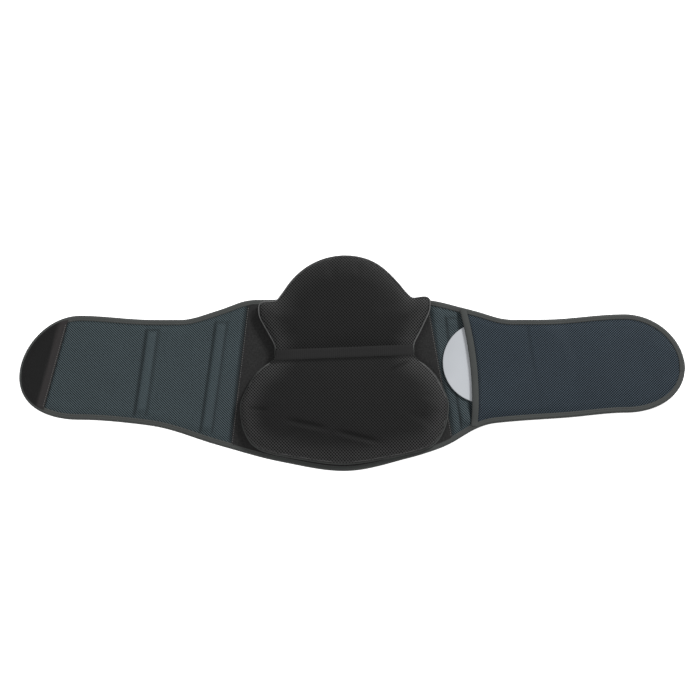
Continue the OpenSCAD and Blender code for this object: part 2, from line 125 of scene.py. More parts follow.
class Nodes:
    """Adds shader nodes to one material, a step at a time."""

    def __init__(self, name):
        self.material = bpy.data.materials.new(name)
        self.material.use_nodes = True
        self.tree = self.material.node_tree
        self.shader = self.tree.nodes["Principled BSDF"]

    def node(self, kind, **values):
        made = self.tree.nodes.new(kind)
        for key, value in values.items():
            setattr(made, key, value)
        return made

    def put(self, value, socket):
        if isinstance(value, bpy.types.NodeSocket):
            self.tree.links.new(value, socket)
        else:
            socket.default_value = value

    def math(self, operation, a, b=0.0, c=0.0):
        made = self.node("ShaderNodeMath", operation=operation)
        for value, socket in zip((a, b, c), made.inputs):
            self.put(value, socket)
        return made.outputs[0]

    def uv(self):
        """U and V in metres on the cloth."""
        made = self.node("ShaderNodeUVMap", uv_map="Cloth")
        split = self.node("ShaderNodeSeparateXYZ")
        self.tree.links.new(made.outputs[0], split.inputs[0])
        return made.outputs[0], split.outputs[0], split.outputs[1]

    def place(self):
        return self.node("ShaderNodeTexCoord").outputs["Object"]

    def noise(self, vector, scale, detail=3.0, rough=0.55):
        made = self.node("ShaderNodeTexNoise")
        self.put(vector, made.inputs["Vector"])
        made.inputs["Scale"].default_value = scale
        made.inputs["Detail"].default_value = detail
        made.inputs["Roughness"].default_value = rough
        return made.outputs["Fac"]

    def wave(self, along, period, phase=0.0):
        """A smooth wave from -1 to 1 with a period in metres."""
        turned = self.math("MULTIPLY_ADD", along, 2 * math.pi / period, phase)
        return self.math("SINE", turned)

    def ramp(self, value, low, high):
        made = self.node("ShaderNodeMapRange", interpolation_type="SMOOTHSTEP")
        self.put(value, made.inputs["Value"])
        made.inputs["From Min"].default_value = low
        made.inputs["From Max"].default_value = high
        return made.outputs["Result"]

    def mix(self, factor, a, b):
        made = self.node("ShaderNodeMix", data_type="RGBA")
        self.put(factor, made.inputs["Factor"])
        for value, socket in ((a, made.inputs["A"]), (b, made.inputs["B"])):
            self.put((*value, 1) if isinstance(value, tuple) else value, socket)
        return made.outputs["Result"]

    def bump(self, height, distance, strength):
        made = self.node("ShaderNodeBump")
        made.inputs["Strength"].default_value = strength
        made.inputs["Distance"].default_value = distance
        self.put(height, made.inputs["Height"])
        return made.outputs["Normal"]

    def finish(self, colour_value, roughness, normal=None, **constants):
        self.put((*colour_value, 1) if isinstance(colour_value, tuple) else colour_value,
                 self.shader.inputs["Base Color"])
        self.put(roughness, self.shader.inputs["Roughness"])
        if normal is not None:
            self.put(normal, self.shader.inputs["Normal"])
        for name, value in constants.items():
            self.shader.inputs[name.replace("_", " ")].default_value = value
        return self.material


def shade(value, factor):
    return tuple(min(1.0, c * factor) for c in value)


def shade_blue(value):
    return (value[0] * 0.83, value[1] * 0.85, value[2] * 0.98)


def spacer_mesh(name, yarn, across, along, lean, hole, stretch_and_highlight, opened, cut):
    """Knitted spacer mesh: holes in staggered rows, with painted shade in its seams, paler where it is
    stretched, and on the cushion also paler under a painted highlight.
    """
    n = Nodes(name)
    cloth, u, v = n.uv()
    one = n.math("MULTIPLY_ADD", v, across / along, u)
    two = n.math("MULTIPLY_ADD", v, -across / along, u)
    first = n.wave(one, across)
    second = n.wave(two, across, 1.2)
    weave = n.math("ADD", n.math("MULTIPLY", first, 0.5 + lean), n.math("MULTIPLY", second, 0.5 - lean))
    yarns = n.ramp(weave, cut - 0.3, cut + 0.3)
    seam = n.node("ShaderNodeAttribute", attribute_name="seam").outputs["Fac"]
    pull = n.node("ShaderNodeAttribute", attribute_name="pull").outputs["Fac"]
    broad = n.noise(cloth, 14, 3)
    fine = n.noise(cloth, 900, 2)
    tint = n.mix(broad, shade(yarn, 0.84), shade(yarn, 1.14))
    tint = n.mix(n.math("MULTIPLY", fine, 0.3), tint, shade(yarn, 0.6))
    # lighter where stretched, and on the cushion a painted highlight on the rim and shoulders
    tint = n.mix(pull, tint, shade(yarn, stretch_and_highlight))
    face = n.mix(yarns, n.mix(pull, shade(yarn, hole), shade(yarn, hole * opened)), tint)
    # painted shade: the seam attribute darkens the face along seams, at edges and in painted shadows
    face = n.mix(n.math("MULTIPLY", seam, 0.8), face, shade(yarn, 0.1))
    rough = n.math("MULTIPLY_ADD", fine, 0.2, 0.62)
    height = n.math("MULTIPLY_ADD", fine, 0.15, yarns)
    return n.finish(face, rough, n.bump(height, 0.35 * MM, 0.7),
                    Sheen_Weight=0.03, Sheen_Roughness=0.4, Specular_IOR_Level=0.1)


def brushed(name, pile, fuzz=0.5):
    """Brushed velour or loop pile: soft, with patches where the pile lies over."""
    n = Nodes(name)
    cloth = n.uv()[0]
    lay = n.noise(cloth, 26, 4, 0.6)
    hairs = n.noise(cloth, 1500, 3, 0.7)
    grain = n.noise(cloth, 420, 3, 0.7)
    tint = n.mix(n.ramp(lay, 0.3, 0.7), shade(pile, 0.86), shade(pile, 1.16))
    tint = n.mix(n.ramp(grain, 0.4, 0.6), shade(pile, 0.45), tint)
    tint = n.mix(hairs, shade(pile, 0.62), tint)
    return n.finish(tint, 0.95, n.bump(hairs, 0.3 * MM, fuzz),
                    Sheen_Weight=0.06, Sheen_Roughness=0.5, Specular_IOR_Level=0.08)


def woven_tape(name, yarn, rib=1.1 * MM, strength=0.6):
    """Narrow woven tape: fine ribs across its length and a denser selvedge."""
    n = Nodes(name)
    cloth, u, v = n.uv()
    ribs = n.wave(u, rib)
    warp = n.wave(v, 0.8 * MM)
    fine = n.noise(cloth, 1300, 2)
    broad = n.noise(cloth, 30, 3)
    height = n.math("ADD", n.math("MULTIPLY_ADD", ribs, 0.3, 0.5), n.math("MULTIPLY", warp, 0.16))
    tint = n.mix(broad, shade(yarn, 0.84), shade(yarn, 1.16))
    tint = n.mix(n.ramp(height, 0.1, 0.9), shade(yarn, 0.66), tint)
    tint = n.mix(n.math("MULTIPLY", fine, 0.35), tint, shade(yarn, 1.35))
    return n.finish(tint, 0.85, n.bump(height, 0.25 * MM, strength),
                    Sheen_Weight=0.04, Sheen_Roughness=0.5, Specular_IOR_Level=0.12)


def hook_face(name, tone):
    """Moulded hooks: a fine staggered grid of stubs with a satin shine, and a painted highlight on the
    strip along the seam.
    """
    n = Nodes(name)
    cloth, u, v = n.uv()
    one = n.wave(u, 1.3 * MM)
    two = n.wave(v, 1.3 * MM)
    dots = n.math("MULTIPLY", one, two)
    broad = n.noise(cloth, 18, 3)
    tint = n.mix(broad, shade(tone, 0.85), shade(tone, 1.2))
    tint = n.mix(n.ramp(dots, 0.1, 0.8), shade(tone, 0.75), tint)
    lit_strip = n.node("ShaderNodeAttribute", attribute_name="pull").outputs["Fac"]
    # painted highlight: the strip along the seam is painted lighter, as if lit on its bevel
    tint = n.mix(lit_strip, tint, shade((tone[0] * 1.1, tone[1], tone[2]), 2.8))
    return n.finish(tint, 0.6, n.bump(dots, 0.2 * MM, 0.35), Specular_IOR_Level=0.12)


def plastic(name, tone, grain=0.12):
    """Satin moulded plastic with faint flow marks and fine scuffs."""
    n = Nodes(name)
    at = n.place()
    broad = n.noise(at, 9, 2)
    scuff = n.noise(at, 240, 4, 0.7)
    tint = n.mix(n.ramp(broad, 0.3, 0.7), shade(tone, 0.9), shade(tone, 1.08))
    rough = n.math("MULTIPLY_ADD", scuff, 0.2, 0.3)
    return n.finish(tint, rough, n.bump(scuff, 0.05 * MM, grain), Specular_IOR_Level=0.5)


def steel(name, tone):
    """Ground spring steel with its grain along the strip."""
    n = Nodes(name)
    at = n.place()
    mapped = n.node("ShaderNodeMapping")
    mapped.inputs["Scale"].default_value = (900, 40, 900)
    n.put(at, mapped.inputs["Vector"])
    grain = n.noise(mapped.outputs[0], 1.0, 3)
    tint = n.mix(grain, shade(tone, 0.8), shade(tone, 1.1))
    return n.finish(tint, n.math("MULTIPLY_ADD", grain, 0.2, 0.25), n.bump(grain, 0.02 * MM, 0.3),
                    Metallic=1.0)


def sewing_thread(name, tone):
    """Twisted thread."""
    n = Nodes(name)
    at = n.place()
    fine = n.noise(at, 2500, 2)
    tint = n.mix(fine, shade(tone, 0.7), shade(tone, 1.2))
    return n.finish(tint, 0.8, n.bump(fine, 0.1 * MM, 0.4), Sheen_Weight=0.2)


def floor_paint(name):
    n = Nodes(name)
    at = n.place()
    broad = n.noise(at, 3, 2)
    tint = n.mix(broad, (0.90, 0.90, 0.90), (0.93, 0.93, 0.93))
    return n.finish(tint, 0.9, None, Specular_IOR_Level=0.1, Emission_Color=(1, 1, 1, 1),
                    Emission_Strength=0.6)


# Each weave: its pitch across and along, its lean, how light its holes are, how light its yarn
# is where it is stretched, and on the cushion where a highlight is painted, how light its holes are there,
# and how much of it is hole
WING_WEAVE = (3.7 * MM, 3.6 * MM, 0.25, 0.05, 0.8, 9, 0.0)
POCKET_WEAVE = (3.7 * MM, 3.6 * MM, -0.05, 0.04, 1.0, 0.3, 0.12)
CUSHION_WEAVE = (4.4 * MM, 4.5 * MM, 0.04, 0.08, 3.6, 0.3, -0.05)
FINISHES = {}


def finish_of(slot):
    """The one material of a slot, made the first time it is asked for."""
    if slot not in FINISHES:
        c = bpy.context.scene.belt_colours
        makers = {
            "wing_mesh": lambda: spacer_mesh("wing_mesh", tuple(c.mesh), *WING_WEAVE),
            "pocket_mesh": lambda: spacer_mesh("pocket_mesh", shade_blue(tuple(c.mesh)), *POCKET_WEAVE),
            "pad_mesh": lambda: spacer_mesh("pad_mesh", tuple(c.cushion), *CUSHION_WEAVE),
            "pad_side": lambda: brushed("pad_side", shade(tuple(c.cushion), 0.55), 0.2),
            "velour": lambda: brushed("velour", tuple(c.velour)),
            "outer_loop": lambda: brushed("outer_loop", tuple(c.loop), 0.8),
            "binding": lambda: woven_tape("binding", tuple(c.binding)),
            "piping": lambda: woven_tape("piping", shade(tuple(c.thread), 0.9)),
            "band": lambda: woven_tape("band", tuple(c.band), 2.9 * MM, 0.8),
            "hook": lambda: hook_face("hook", tuple(c.hook)),
            "plate_plastic": lambda: plastic("plate_plastic", tuple(c.plate)),
            "stiffener": lambda: plastic("stiffener", rgb(44, 45, 46)),
            "stay_steel": lambda: steel("stay_steel", rgb(170, 172, 176)),
            "plain_hook": lambda: plastic("plain_hook", rgb(36, 36, 37), 0.5),
            "thread": lambda: sewing_thread("thread", tuple(c.thread)),
            "dark_thread": lambda: sewing_thread("dark_thread", shade(tuple(c.thread), 0.3)),
            "floor": lambda: floor_paint("floor"),
        }
        FINISHES[slot] = makers[slot]()
    return FINISHES[slot]


# ---------------------------------------------------------------- the belt's outline, from the frame

BINDINGS = [n for n in NODES if n.endswith("_binding")]
TREES = [
    BVHTree.FromPolygons(
        [v.co.copy() for v in NODES[n].data.vertices],
        [tuple(p.vertices) for p in NODES[n].data.polygons],
    )
    for n in BINDINGS
]
RAY_HEIGHT = 2 * MM
END_ROUND = 86 * MM
LEAST_HALF_WIDTH = 0.03


def edge_hit(x, side):
    """Where a line across the belt at x first meets its edge, from above (1) or below (-1)."""
    for nudge in (0, MM, -MM, 2 * MM, -2 * MM):
        hits = [
            tree.ray_cast(Vector((x + nudge, side, RAY_HEIGHT)), Vector((0, -side, 0)))[0]
            for tree in TREES
        ]
        found = [side * hit.y for hit in hits if hit is not None]
        if found and max(found) > LEAST_HALF_WIDTH:
            return side * max(found)
    raise RuntimeError(f"the belt has no edge at {x}")


LEFT_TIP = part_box("left_end_binding")[0][0]
RIGHT_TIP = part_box("right_end_binding")[1][0]
LEFT_JOIN = LEFT_TIP + END_ROUND
RIGHT_JOIN = RIGHT_TIP - END_ROUND
STATION_XS = np.linspace(LEFT_JOIN, RIGHT_JOIN, 58)
STATIONS = {s: np.array([edge_hit(x, s) for x in STATION_XS]) for s in (1, -1)}


def spline(xs, ys, x):
    """Smooth curve through evenly spaced stations, and its slope."""
    step = xs[1] - xs[0]
    t = np.clip((np.asarray(x, float) - xs[0]) / step, 0, len(xs) - 1.000001)
    i = t.astype(int)
    t = t - i
    tangent = np.gradient(ys)
    tangent[0] = tangent[-1] = 0
    a, b, ma, mb = ys[i], ys[i + 1], tangent[i], tangent[i + 1]
    y = (
        a * (1 + 2 * t) * (1 - t) ** 2 + ma * t * (1 - t) ** 2
        + b * t * t * (3 - 2 * t) + mb * t * t * (t - 1)
    )
    slope = (
        6 * (t * t - t) * (a - b) + ma * (1 - t) * (1 - 3 * t) + mb * t * (3 * t - 2)
    ) / step
    return y, slope


def end_facts(tip):
    """Centre place, mean height, half height and droop of one rounded end."""
    i = 0 if tip < 0 else -1
    top, bottom = STATIONS[1][i], STATIONS[-1][i]
    middle = (top + bottom) / 2
    verts = NODES["left_end_binding" if tip < 0 else "right_end_binding"].data.vertices
    lowest = min(verts, key=lambda v: abs(v.co.x - tip)).co.y
    return tip - math.copysign(END_ROUND, tip), middle, (top - bottom) / 2, middle - lowest


ENDS = {tip: end_facts(tip) for tip in (LEFT_TIP, RIGHT_TIP)}
EDGES = {}


def edge(x, side, inset=0.0):
    """Height of the top (1) or bottom (-1) edge at x, moved inward by inset."""
    key = (side, round(inset * 1e6))
    if key not in EDGES:
        turn = np.sin(np.linspace(0, math.pi / 2, 400))
        reach = END_ROUND - inset
        xs = np.concatenate([
            LEFT_JOIN - reach * turn[::-1],
            np.arange(LEFT_JOIN + 0.4 * MM, RIGHT_JOIN - 0.2 * MM, 0.4 * MM),
            RIGHT_JOIN + reach * turn,
        ])
        EDGES[key] = (xs, exact_edge(xs, side, inset))
    return np.interp(x, *EDGES[key])


def exact_edge(x, side, inset):
    """The same height, worked out from the stations and the rounded ends."""
    y, slope = spline(STATION_XS, STATIONS[side], x)
    y = y - side * inset * np.sqrt(1 + slope**2)
    for tip, (centre, middle, half, droop) in ENDS.items():
        out = (x - centre) * (1 if tip > 0 else -1)
        share = np.clip(out / (END_ROUND - inset), 0, 1)
        curved = middle + side * (half - inset) * np.sqrt(1 - share**2) - droop * share**2
        y = np.where(out > 0, curved, y)
    return y


def edge_distance(x, y, inset):
    """Rough distance from a point to the inner edge of the binding."""
    near = np.minimum(edge(x, 1, inset) - y, y - edge(x, -1, inset))
    end = np.minimum(x - LEFT_TIP - inset, RIGHT_TIP - inset - x)
    return np.maximum(np.minimum(near, end), 0)


# Lines that cross the belt: place on the centre line and lean, as dx over dy
def fold_line(joint):
    j = JOINTS[joint]
    return (j["pos_m"][0], j["axis"][0] / j["axis"][1])


FOLDS = {
    "left_end": fold_line("left_end_fold"),
    "left_front": fold_line("left_front_fold"),
    "left_side": fold_line("left_side_fold"),
    "right_side": fold_line("right_side_fold"),
    "right_front": fold_line("right_front_fold"),
    "right_end": fold_line("right_end_fold"),
}


def middle_line(node, lean):
    low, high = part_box(node)
    y = (low[1] + high[1]) / 2
    return ((low[0] + high[0]) / 2 - y * lean, lean)


STAY_LEAN = FOLDS["left_front"][1]
RIGHT_STAY_LEAN = -math.tan(math.radians(7.8))
STAYS = {
    "left_outer_stay": middle_line("left_outer_stay", STAY_LEAN),
    "left_inner_stay": middle_line("left_inner_stay", STAY_LEAN),
    "right_inner_stay": middle_line("right_inner_stay", RIGHT_STAY_LEAN),
    "right_outer_stay": middle_line("right_outer_stay", RIGHT_STAY_LEAN),
}


def moved(line, dx):
    return (line[0] + dx, *line[1:])


def mix_line(a, b, t):
    a, b = (tuple(line) + (0.0,) * (3 - len(line)) for line in (a, b))
    return tuple(p + (q - p) * t for p, q in zip(a, b))


def line_x(line, y):
    """Place of a line across the belt at a height: (on the centre line, lean, bow)."""
    return line[0] + line[1] * y + (line[2] * y * y if len(line) > 2 else 0)


def beside(line, x, y):
    """Distance past a line, square to it."""
    return (x - line_x(line, y)) / math.sqrt(1 + line[1] ** 2)


RIDGE_FOOT = 9.5 * MM
BACK_LEFT_X = -125 * MM
BACK_RIGHT_X = 95 * MM
RIGHT_SIDE_X = 245 * MM
CUTS = {
    "left_tip": (LEFT_TIP, 0.0),
    "left_front": moved(STAYS["left_outer_stay"], -RIDGE_FOOT),
    "left_side": moved(STAYS["left_inner_stay"], -RIDGE_FOOT),
    "back_left": (BACK_LEFT_X, FOLDS["left_side"][1]),
    "back_right": (BACK_RIGHT_X, FOLDS["right_side"][1]),
    "right_side": (RIGHT_SIDE_X, RIGHT_STAY_LEAN),
    "right_front": mix_line(FOLDS["right_front"], FOLDS["right_end"], 0.5),
    "right_tip": (RIGHT_TIP, 0.0),
}
# Each length of fabric: its name, where it starts and stops, and the bodies and fold that it crosses
LENGTHS = [
    ("left_end", "left_tip", "left_front", ("left_end", "left_front"), "left_end", 16 * MM),
    ("left_front", "left_front", "left_side", ("left_front", "left_side"), "left_front", 13 * MM),
    ("left_side", "left_side", "back_left", ("left_side", "back"), "left_side", 11 * MM),
    ("back", "back_left", "back_right", ("back", "back"), None, 0),
    ("right_side", "back_right", "right_side", ("back", "right_side"), "right_side", 8 * MM),
    ("right_front", "right_side", "right_front", ("right_side", "right_front"), "right_front", 13 * MM),
    ("right_end", "right_front", "right_tip", ("right_front", "right_end"), "right_end", 16 * MM),
]


ENTRY = {entry[0]: entry for entry in LENGTHS}


def attach(obj, entry):
    """Makes a piece ride on its body when it crosses no fold; a piece that crosses a fold only gets its
    transform baked into its points.
    """
    bodies, fold, half = entry[3:]
    if fold is None:
        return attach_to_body(obj, bodies[0])
    x, lean = FOLDS[fold]
    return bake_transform(obj)


# ---------------------------------------------------------------- mesh helpers

def smooth(value, low, high):
    t = np.clip((np.asarray(value, float) - low) / (high - low), 0, 1)
    return t * t * (3 - 2 * t)


def ripple(x, y, scale, seed):
    """Slow, repeatable unevenness from -1 to 1."""
    rng = np.random.default_rng(seed)
    total = np.zeros_like(np.asarray(x, float))
    for _ in range(6):
        angle, phase, k = rng.uniform(0, math.pi), rng.uniform(0, 6.28), rng.uniform(0.6, 1.6) / scale
        total = total + np.sin((x * math.cos(angle) + y * math.sin(angle)) * 6.28 * k + phase)
    return total / 6


def new_object(name, verts, faces, uvs=None, slot=None, look=None):
    mesh = bpy.data.meshes.new(name)
    mesh.from_pydata([tuple(v) for v in verts], [], [tuple(f) for f in faces])
    layer = mesh.uv_layers.new(name="Cloth")
    if uvs is None:
        uvs = [(v[0], v[1]) for v in verts]
    loops = np.array([uvs[loop.vertex_index] for loop in mesh.loops], np.float32)
    layer.data.foreach_set("uv", loops.ravel())
    mesh.materials.append(finish_of(look or slot))
    obj = bpy.data.objects.new(name, mesh)
    bpy.context.scene.collection.objects.link(obj)
    return obj


def shade_points(obj, seam=None, pull=None):
    """Stores the painted shade in the seams and the pull of each point of the cloth; the pull is stretch
    on the lining, part stretch and part painted highlight on the cushion, and a painted highlight on the
    hook patch.
    """
    points = coords(obj)
    for name, values in (("seam", seam), ("pull", pull)):
        layer = obj.data.attributes.new(name, "FLOAT", "POINT")
        if values is not None:
            layer.data.foreach_set("value", values(*points.T).astype(np.float32))


MERGE = 0.02 * MM


def tidy_mesh(obj):
    """Joins doubled points, drops empty faces and points every face outward."""
    bm = bmesh.new()
    bm.from_mesh(obj.data)
    bmesh.ops.remove_doubles(bm, verts=bm.verts, dist=MERGE)
    bmesh.ops.dissolve_degenerate(bm, dist=MERGE, edges=bm.edges)
    loose = [v for v in bm.verts if not v.link_faces]
    bmesh.ops.delete(bm, geom=loose, context="VERTS")
    bmesh.ops.recalc_face_normals(bm, faces=bm.faces)
    bm.to_mesh(obj.data)
    bm.free()
    return obj


def smooth_faces(obj, angle=50):
    deselect()
    obj.select_set(True)
    bpy.context.view_layer.objects.active = obj
    bpy.ops.object.shade_smooth_by_angle(angle=math.radians(angle))
    return obj


def deselect():
    if bpy.context.object and bpy.context.object.mode != "OBJECT":
        bpy.ops.object.mode_set(mode="OBJECT")
    bpy.ops.object.select_all(action="DESELECT")


USUAL_WIDTH = 0.15


def spaced(start, stop, step):
    """Lines from start to stop: evenly spaced, and crowded towards a rounded end."""
    count = max(2, int(math.ceil(abs(stop[0] - start[0]) / step)))
    out = []
    for i in range(count + 1):
        t = i / count
        if stop[0] == RIGHT_TIP:
            t = math.sin(t * math.pi / 2)
        if start[0] == LEFT_TIP:
            t = 1 - math.cos(t * math.pi / 2)
        out.append(mix_line(start, stop, t))
    return out


def cross_points(line, inset, rows):
    """Points along one line across the belt, from the bottom edge to the top edge."""
    ends = []
    for side in (-1, 1):
        y = 0.0
        for _ in range(14):
            x = min(max(line_x(line, y), LEFT_TIP + inset), RIGHT_TIP - inset)
            y = 0.5 * y + 0.5 * float(edge(x, side, inset))
        ends.append(y)
    ys = np.linspace(ends[0], ends[1], rows)
    xs = np.clip(line_x(line, ys), LEFT_TIP + inset, RIGHT_TIP - inset)
    return xs, ys


def closed_grid(n, m):
    """Faces of a sheet of n by m points with a second sheet under it, closed round its rim."""
    faces = []
    base = n * m
    for i in range(n - 1):
        for j in range(m - 1):
            a, b, c, d = i * m + j, (i + 1) * m + j, (i + 1) * m + j + 1, i * m + j + 1
            faces += [(a, b, c, d), (base + d, base + c, base + b, base + a)]
    ring = (
        [i * m for i in range(n)]
        + [(n - 1) * m + j for j in range(1, m)]
        + [i * m + m - 1 for i in range(n - 2, -1, -1)]
        + [j for j in range(m - 2, 0, -1)]
    )
    for a, b in zip(ring, ring[1:] + ring[:1]):
        faces.append((b, a, base + a, base + b))
    return faces


def slab(name, start, stop, inset, top, bottom, slot, look=None, step=None):
    """A closed sheet between two lines, with its top and underside given as height functions."""
    step = step or bpy.context.scene.belt_sizes.grid
    lines = spaced(start, stop, step)
    rows = max(8, int(USUAL_WIDTH / step))
    columns = [cross_points(line, inset, rows) for line in lines]
    x = np.array([c[0] for c in columns])
    y = np.array([c[1] for c in columns])
    upper = np.stack([x, y, top(x, y)], -1).reshape(-1, 3)
    lower = np.stack([x, y, bottom(x, y)], -1).reshape(-1, 3)
    points = np.concatenate([upper, lower])
    obj = new_object(name, points, closed_grid(*x.shape), slot=slot, look=look)
    return smooth_faces(tidy_mesh(obj))


def flat_area(start, stop, inset):
    """Flat area of the cloth between two lines."""
    columns = [cross_points(line, inset, 2) for line in spaced(start, stop, 4 * MM)]
    x = np.array([c[0].mean() for c in columns])
    h = np.array([c[1][-1] - c[1][0] for c in columns])
    return float(((h[1:] + h[:-1]) / 2 * np.diff(x)).sum())


def declare_sheet(start, stop, inset):
    """Works out the flat area of the cloth between two lines, and throws it away."""
    flat_area(start, stop, inset)


# ---------------------------------------------------------------- heights of the cloth

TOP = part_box("back_lining")[1][2]
SHELL_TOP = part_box("back_shell")[1][2]
VELOUR_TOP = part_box("velour_panel")[1][2]
POCKET_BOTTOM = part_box("right_end_pocket")[0][2]
TAPE_W = 8 * MM
BODY_INSET = 6.8 * MM
EMPTY_POCKET = TOP + 0.6 * MM


def ridge(x, y, line, height, width, low, high):
    """A rounded ridge along a line across the belt, with its ends sewn down."""
    body = 1 - smooth(np.abs(beside(line, x, y)), 0.30 * width, 0.62 * width)
    return height * body * smooth(y, low, low + 9 * MM) * (1 - smooth(y, high - 9 * MM, high))


def seam_dip(x, y, line, offset, depth=0.5 * MM, width=1.6 * MM):
    return -depth * np.exp(-(((beside(line, x, y) - offset) / width) ** 2))


def stay_span(name):
    low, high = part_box(name)
    return low[1] - 4 * MM, high[1] + 4 * MM


PLATE_LOW, PLATE_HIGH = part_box("plate")
PLATE_R = (PLATE_HIGH[1] - PLATE_LOW[1]) / 2
PLATE_TRAVEL = Vector(JOINTS["plate_slide"]["axis"]) * JOINTS["plate_slide"]["range_m"][1]


def plate_gap(x, y):
    """Distance outside the area that the plate sweeps as it slides."""
    ax, ay = PLATE_LOW[0] + PLATE_R, (PLATE_LOW[1] + PLATE_HIGH[1]) / 2
    bx, by = PLATE_HIGH[0] - PLATE_R + PLATE_TRAVEL.x, ay + PLATE_TRAVEL.y
    length_sq = (bx - ax) ** 2 + (by - ay) ** 2
    t = np.clip(((x - ax) * (bx - ax) + (y - ay) * (by - ay)) / length_sq, 0, 1)
    return np.maximum(np.hypot(x - ax - t * (bx - ax), y - ay - t * (by - ay)) - PLATE_R, 0)


def plate_nearness(x, y):
    return 1 - smooth(plate_gap(x, y), 1.5 * MM, 28 * MM)


def flat_loop(node, level="low"):
    """Corner points of a flat piece's underside or top, in order round its edge."""
    mesh = NODES[node].data
    zs = [v.co.z for v in mesh.vertices]
    z = min(zs) if level == "low" else max(zs)
    key = {v.index: (round(v.co.x, 6), round(v.co.y, 6)) for v in mesh.vertices}
    uses = {}
    for polygon in mesh.polygons:
        if all(abs(mesh.vertices[i].co.z - z) < 0.02 * MM for i in polygon.vertices):
            ring = list(polygon.vertices)
            for a, b in zip(ring, ring[1:] + ring[:1]):
                pair = (key[a], key[b])
                uses[frozenset(pair)] = None if frozenset(pair) in uses else pair
    follow = {pair[0]: pair[1] for pair in uses.values() if pair}
    loop = [next(iter(follow))]
    while follow.get(loop[-1]) not in (None, loop[0]):
        loop.append(follow[loop[-1]])
    return np.array(loop)


def side_curve(node, side):
    """The left (-1) or right (1) edge of a strip across the belt, as a bowed line."""
    loop = flat_loop(node, "high")
    lean = np.polyfit(loop[:, 1], loop[:, 0], 1)[0]
    middle = loop.mean(0)
    part = loop[side * (loop[:, 0] - middle[0] - lean * (loop[:, 1] - middle[1])) > 0]
    bow, lean, place = np.polyfit(part[:, 1], part[:, 0], 2)
    return (float(place), float(lean), float(bow))


def long_edge(node):
    """The longest straight edge of a flat piece, as a line across the belt."""
    loop = flat_loop(node, "high")
    after = np.roll(loop, -1, 0)
    i = int(np.linalg.norm(after - loop, axis=1).argmax())
    lean = (after[i, 0] - loop[i, 0]) / (after[i, 1] - loop[i, 1])
    return (float(loop[i, 0] - lean * loop[i, 1]), float(lean))


MOUTH_BEND = (-1.8 * MM, -0.021, -0.41)


def drawn_back(line):
    """The mouth's line, as the worn pocket draws it back at its top."""
    return tuple(a + b for a, b in zip(line, MOUTH_BEND))


MOUTH = drawn_back(side_curve("pocket_mouth_tape", -1))
MOUTH_RIGHT = drawn_back(side_curve("pocket_mouth_tape", 1))
HOOK_SEAM = long_edge("hook_patch")
VELOUR_LEFT = moved(FOLDS["left_side"], 2 * MM)
VELOUR_RIGHT = moved(FOLDS["right_side"], -4 * MM)


def pocket_under(x, y):
    d = edge_distance(x, y, TAPE_W)
    rise = np.maximum(plate_nearness(x, y), 0.5 * smooth(d, 0, 30 * MM))
    return EMPTY_POCKET + (POCKET_BOTTOM + 0.1 * MM - EMPTY_POCKET) * rise


def pocket_top(x, y):
    s = bpy.context.scene.belt_sizes
    d = edge_distance(x, y, TAPE_W)
    z = pocket_under(x, y) + 1.6 * MM + s.swell * 0.7 * smooth(d, 0, s.edge_round)
    z = z + 0.2 * MM * ripple(x, y, 0.06, 11)
    low, high = stay_span("right_outer_stay")
    faint = smooth(y, low - 30 * MM, low) * (1 - smooth(y, high, high + 10 * MM))
    return z + faint * seam_dip(x, y, STAYS["right_outer_stay"], -3 * MM, 0.45 * MM, 2.2 * MM)


def lining_top(x, y):
    s = bpy.context.scene.belt_sizes
    d = edge_distance(x, y, TAPE_W)
    swell = s.swell * smooth(d, 0, s.edge_round)
    bumps = 0.22 * MM * ripple(x, y, 0.05, 3)
    for name in ("left_outer_stay", "left_inner_stay", "right_inner_stay"):
        low, high = stay_span(name)
        bumps = bumps + ridge(x, y, STAYS[name], s.ridge, s.ridge_width, low, high)
        for offset in (-10 * MM, 10 * MM):
            bumps = bumps + seam_dip(x, y, STAYS[name], offset)
    bumps = bumps + seam_dip(x, y, STAYS["left_outer_stay"], 17 * MM)
    free = TOP + swell + bumps
    # it lies flat where the velour, the plate or the pocket lies on it
    under_velour = smooth(beside(VELOUR_LEFT, x, y), -7 * MM, -1 * MM) * (
        1 - smooth(beside(VELOUR_RIGHT, x, y), 1 * MM, 7 * MM)
    )
    on_right = smooth(beside(VELOUR_RIGHT, x, y), -5 * MM, 0)
    under_plate = plate_nearness(x, y) * on_right
    under_pocket = smooth(beside(MOUTH, x, y), -4 * MM, 2 * MM)
    under_hook = 1 - smooth(beside(HOOK_SEAM, x, y), -1 * MM, 5 * MM)
    flat = np.maximum(np.maximum(under_velour, under_plate), np.maximum(under_pocket, under_hook))
    return free * (1 - flat) + TOP * flat


def seam_line(x, y, line, offset, width=1.6 * MM):
    return np.exp(-(((beside(line, x, y) - offset) / width) ** 2))


